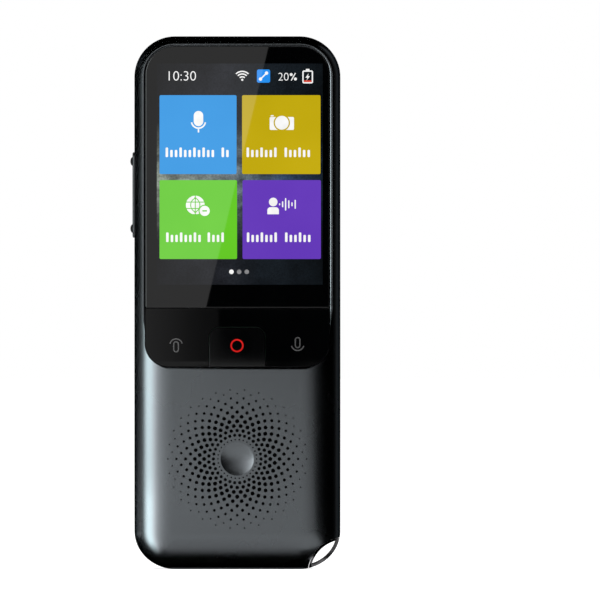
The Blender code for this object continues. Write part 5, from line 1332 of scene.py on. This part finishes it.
def make_world():
    """White where it is seen, also in metal and glass, and a plain soft fill elsewhere."""
    world = bpy.data.worlds.new("studio")
    bpy.context.scene.world = world
    net = Net(world)
    fill, white = (net.node("Background", {"Strength": strength, "Color": WHITE}).outputs[0]
                   for strength in (WORLD_FILL, 1.0))
    net.end("World", net.node("MixShader", {"Fac": path_factor(net), 1: fill, 2: white}))
    world.cycles.sampling_method = "NONE"


def flat_mesh(name, corners, material):
    """One face in the room as an object of the studio."""
    shape = bmesh.new()
    shape.faces.new([shape.verts.new(corner) for corner in corners])
    made = add_mesh(shape, name)
    made.data.materials.append(material)
    return made


def level_face(left, right, near, far, level):
    """The corners of a level rectangle."""
    return at_level([(left, near), (right, near), (right, far), (left, far)], level)


def upright_face(start, end, low, high):
    """The corners of an upright rectangle over a line on the ground."""
    return at_level([start, end], low) + at_level([end, start], high)


def make_floor():
    """A plain white floor that keeps the device's shadow."""
    half = FLOOR_SIZE / 2
    net = Net(bpy.data.materials.new("floor_white"))
    matt = net.node("BsdfDiffuse", {"Color": FLOOR_COLOUR})
    glow = net.node("Emission", {"Strength": net.product(path_factor(net), FLOOR_GLOW)})
    both = net.node("AddShader", {0: matt.outputs[0], 1: glow.outputs[0]})
    flat_mesh("floor", level_face(-half, half, -half, half, 0), net.end("Material", both))


def measured(net, measure):
    """Where a card's point lies: along an axis, or how far from the ground corner."""
    axes = net.axes()
    if measure != "corner":
        return axes[measure]
    squares = []
    for axis, begin in zip("XY", GROUND_CORNER):
        past = net.maths("MINIMUM", net.maths("SUBTRACT", axes[axis], begin), 0.0)
        squares.append(net.product(past, past))
    return net.maths("POWER", net.maths("ADD", *squares), 0.5)


def faded(net, measure, stops):
    """A brightness that runs through (place, brightness) stops."""
    first, last = stops[0][0], stops[-1][0]
    most = max(level for place, level in stops)
    share = net.stretch(measured(net, measure), 0.0, 1.0, first, last)
    shares = [((place - first) / (last - first), (level / most,) * 3) for place, level in stops]
    return net.product(net.ramp(share, *shares), most)


def card(name, corners, colour=BLACK, strength=0.0, measure=None, stops=None):
    """A studio card that only shows in reflections: a softbox, or a flag when it is black."""
    net = Net(bpy.data.materials.new(name))
    bright = net.product(faded(net, measure, stops), strength) if measure else strength
    material = net.end("Material", net.node("Emission", {"Color": (*colour, 1), "Strength": bright}))
    material.cycles.emission_sampling = "NONE"
    made = flat_mesh(name, corners, material)
    for kind in ("camera", "diffuse", "shadow", "transmission", "volume_scatter"):
        setattr(made, "visible_" + kind, False)


def around(azimuth, distance):
    """A place round the device."""
    angle = math.radians(azimuth)
    return distance * math.sin(angle), -distance * math.cos(angle)


def make_strips():
    """The strips round the device, each in short runs, and a floor card under the dark ones in front."""
    for index, (start, end, colour, strength) in enumerate(STRIPS):
        count = math.ceil((end - start) / STRIP_ARC)
        places = [around(start + (end - start) * part / count, CARD_DISTANCE) for part in range(count + 1)]
        for part, (near, far) in enumerate(zip(places, places[1:])):
            card("strip_%d_%d" % (index, part), upright_face(near, far, 0, CARD_TOP), colour, strength)
            if not strength and 0 < end <= 90:
                card("floor_flag_%d" % part, at_level([(HALF_WIDTH, 0), near, far], CARD_LIFT))


def mirrored(px, py, level_y):
    """Where the glass shows the camera a place of an upright card, for a photo pixel on the glass."""
    x, z = seen(px, py)
    share = (-FRONT - level_y) / CAMERA_DISTANCE
    return x + (x - CAMERA_SIDEWAYS) * share, z + (z - CAMERA_UP) * share


def make_ground_glow():
    """The strips on the ground by the lower left corner, a sheet before the foot and one under the loop."""
    x0, y0 = GROUND_CORNER
    level = 2 * CARD_LIFT
    for index, (start, end, colour, strength) in enumerate(STRIPS):
        if GROUND_FROM < start and end < 0:
            near, far = ([(x0 + x, y0 + y) for x, y in (around(start, size), around(end, size))]
                         for size in (FIT, GROUND_REACH))
            stops = FRONT_GROUND_STOPS if start >= FRONT_GROUND else SIDE_GROUND_STOPS
            card("ground_%d" % index, at_level(near + far[::-1], level), colour, strength, "corner", stops)
            card("ground_wall_%d" % index, upright_face(*far, level, GROUND_WALL), colour, strength)
    card("ground_front", level_face(x0, GROUND_END, y0, y0 - GROUND_DEPTH, level), NEUTRAL,
         GROUND_FRONT_LIGHT, "corner", FRONT_GROUND_STOPS)
    *place, colour, strength = LOOP_CARD
    card("ground_loop", level_face(*place), colour, strength)


def make_flags():
    """Cards near the device, dark or faded: above, over the keys, underfoot, at the side and for the glass."""
    wide = 3 * HALF_WIDTH
    deep = LENGTH / 2
    card("flag_top", level_face(-wide, wide, -3 * FRONT, 3 * deep, LENGTH + FRONT), NEUTRAL, 1.0, "Y",
         TOP_STOPS)
    card("key_card", level_face(-HALF_WIDTH, HALF_WIDTH, -FRONT - FIT, -KEY_CARD_REACH, GLASS_BOTTOM),
         NEUTRAL, 1.0, "X", KEY_CARD_STOPS)
    card("flag_foot", level_face(-wide, wide, -FRONT - FOOT_FLAG, deep, CARD_LIFT))
    gap = HALF_WIDTH + SEAM / 2
    card("flag_side", upright_face((gap, 0), (CARD_DISTANCE, 0), 0, CARD_TOP), NEUTRAL, 1.0, "X",
         [(gap + place, level) for place, level in SIDE_STOPS])
    (x1, z1), (x0, z0) = (mirrored(px, py, -CARD_DISTANCE) for px, py in GLOSS_LINE)
    right = mirrored(*GLOSS_END, -CARD_DISTANCE)[0]
    slope = (x1 - x0) / (z1 - z0)
    low = z0 - 3 * FRONT
    high = z1 + FRONT
    card("flag_glass", at_height([(x0 - slope * (z0 - low), low), (right, low), (right, high),
                                  (x1 + slope * (high - z1), high)], -CARD_DISTANCE))


def lamp(name, place, power):
    """A large soft lamp aimed at the middle of the device, which mirrors don't show."""
    data = bpy.data.lights.new(name, "AREA")
    data.shape = "RECTANGLE"
    data.size = LAMP_SIZE
    data.size_y = LAMP_SIZE
    data.energy = power
    made = put(name, data)
    made.location = place
    aim = Vector((0, 0, LENGTH / 2)) - Vector(place)
    made.rotation_euler = aim.to_track_quat("-Z", "Y").to_euler()
    made.visible_glossy = False


def make_camera():
    """The photo's viewpoint, straight at the screen."""
    data = bpy.data.cameras.new("photo_view")
    data.sensor_width = SENSOR
    data.lens = SENSOR * CAMERA_DISTANCE / (IMAGE_PIXELS * PIXEL)
    data.clip_start = CAMERA_CLIP
    made = put("photo_view", data)
    made.location = (CAMERA_SIDEWAYS, -CAMERA_DISTANCE - FRONT, CAMERA_UP)
    made.rotation_euler = (math.radians(90), 0, 0)
    bpy.context.scene.camera = made


def main():
    """Builds the looks and the studio."""
    for build in (dress_nodes, front_shell, back_shell, cover_glass, screen, talk_keys, home_key, key_signs,
                  volume_key, lanyard_loop, camera_side, port, make_world, make_floor, make_strips,
                  make_ground_glow, make_flags):
        build()
    for name, (place, power) in LAMPS.items():
        lamp(name, place, power)
    make_camera()
    bpy.context.scene.view_settings.view_transform = "Standard"


main()
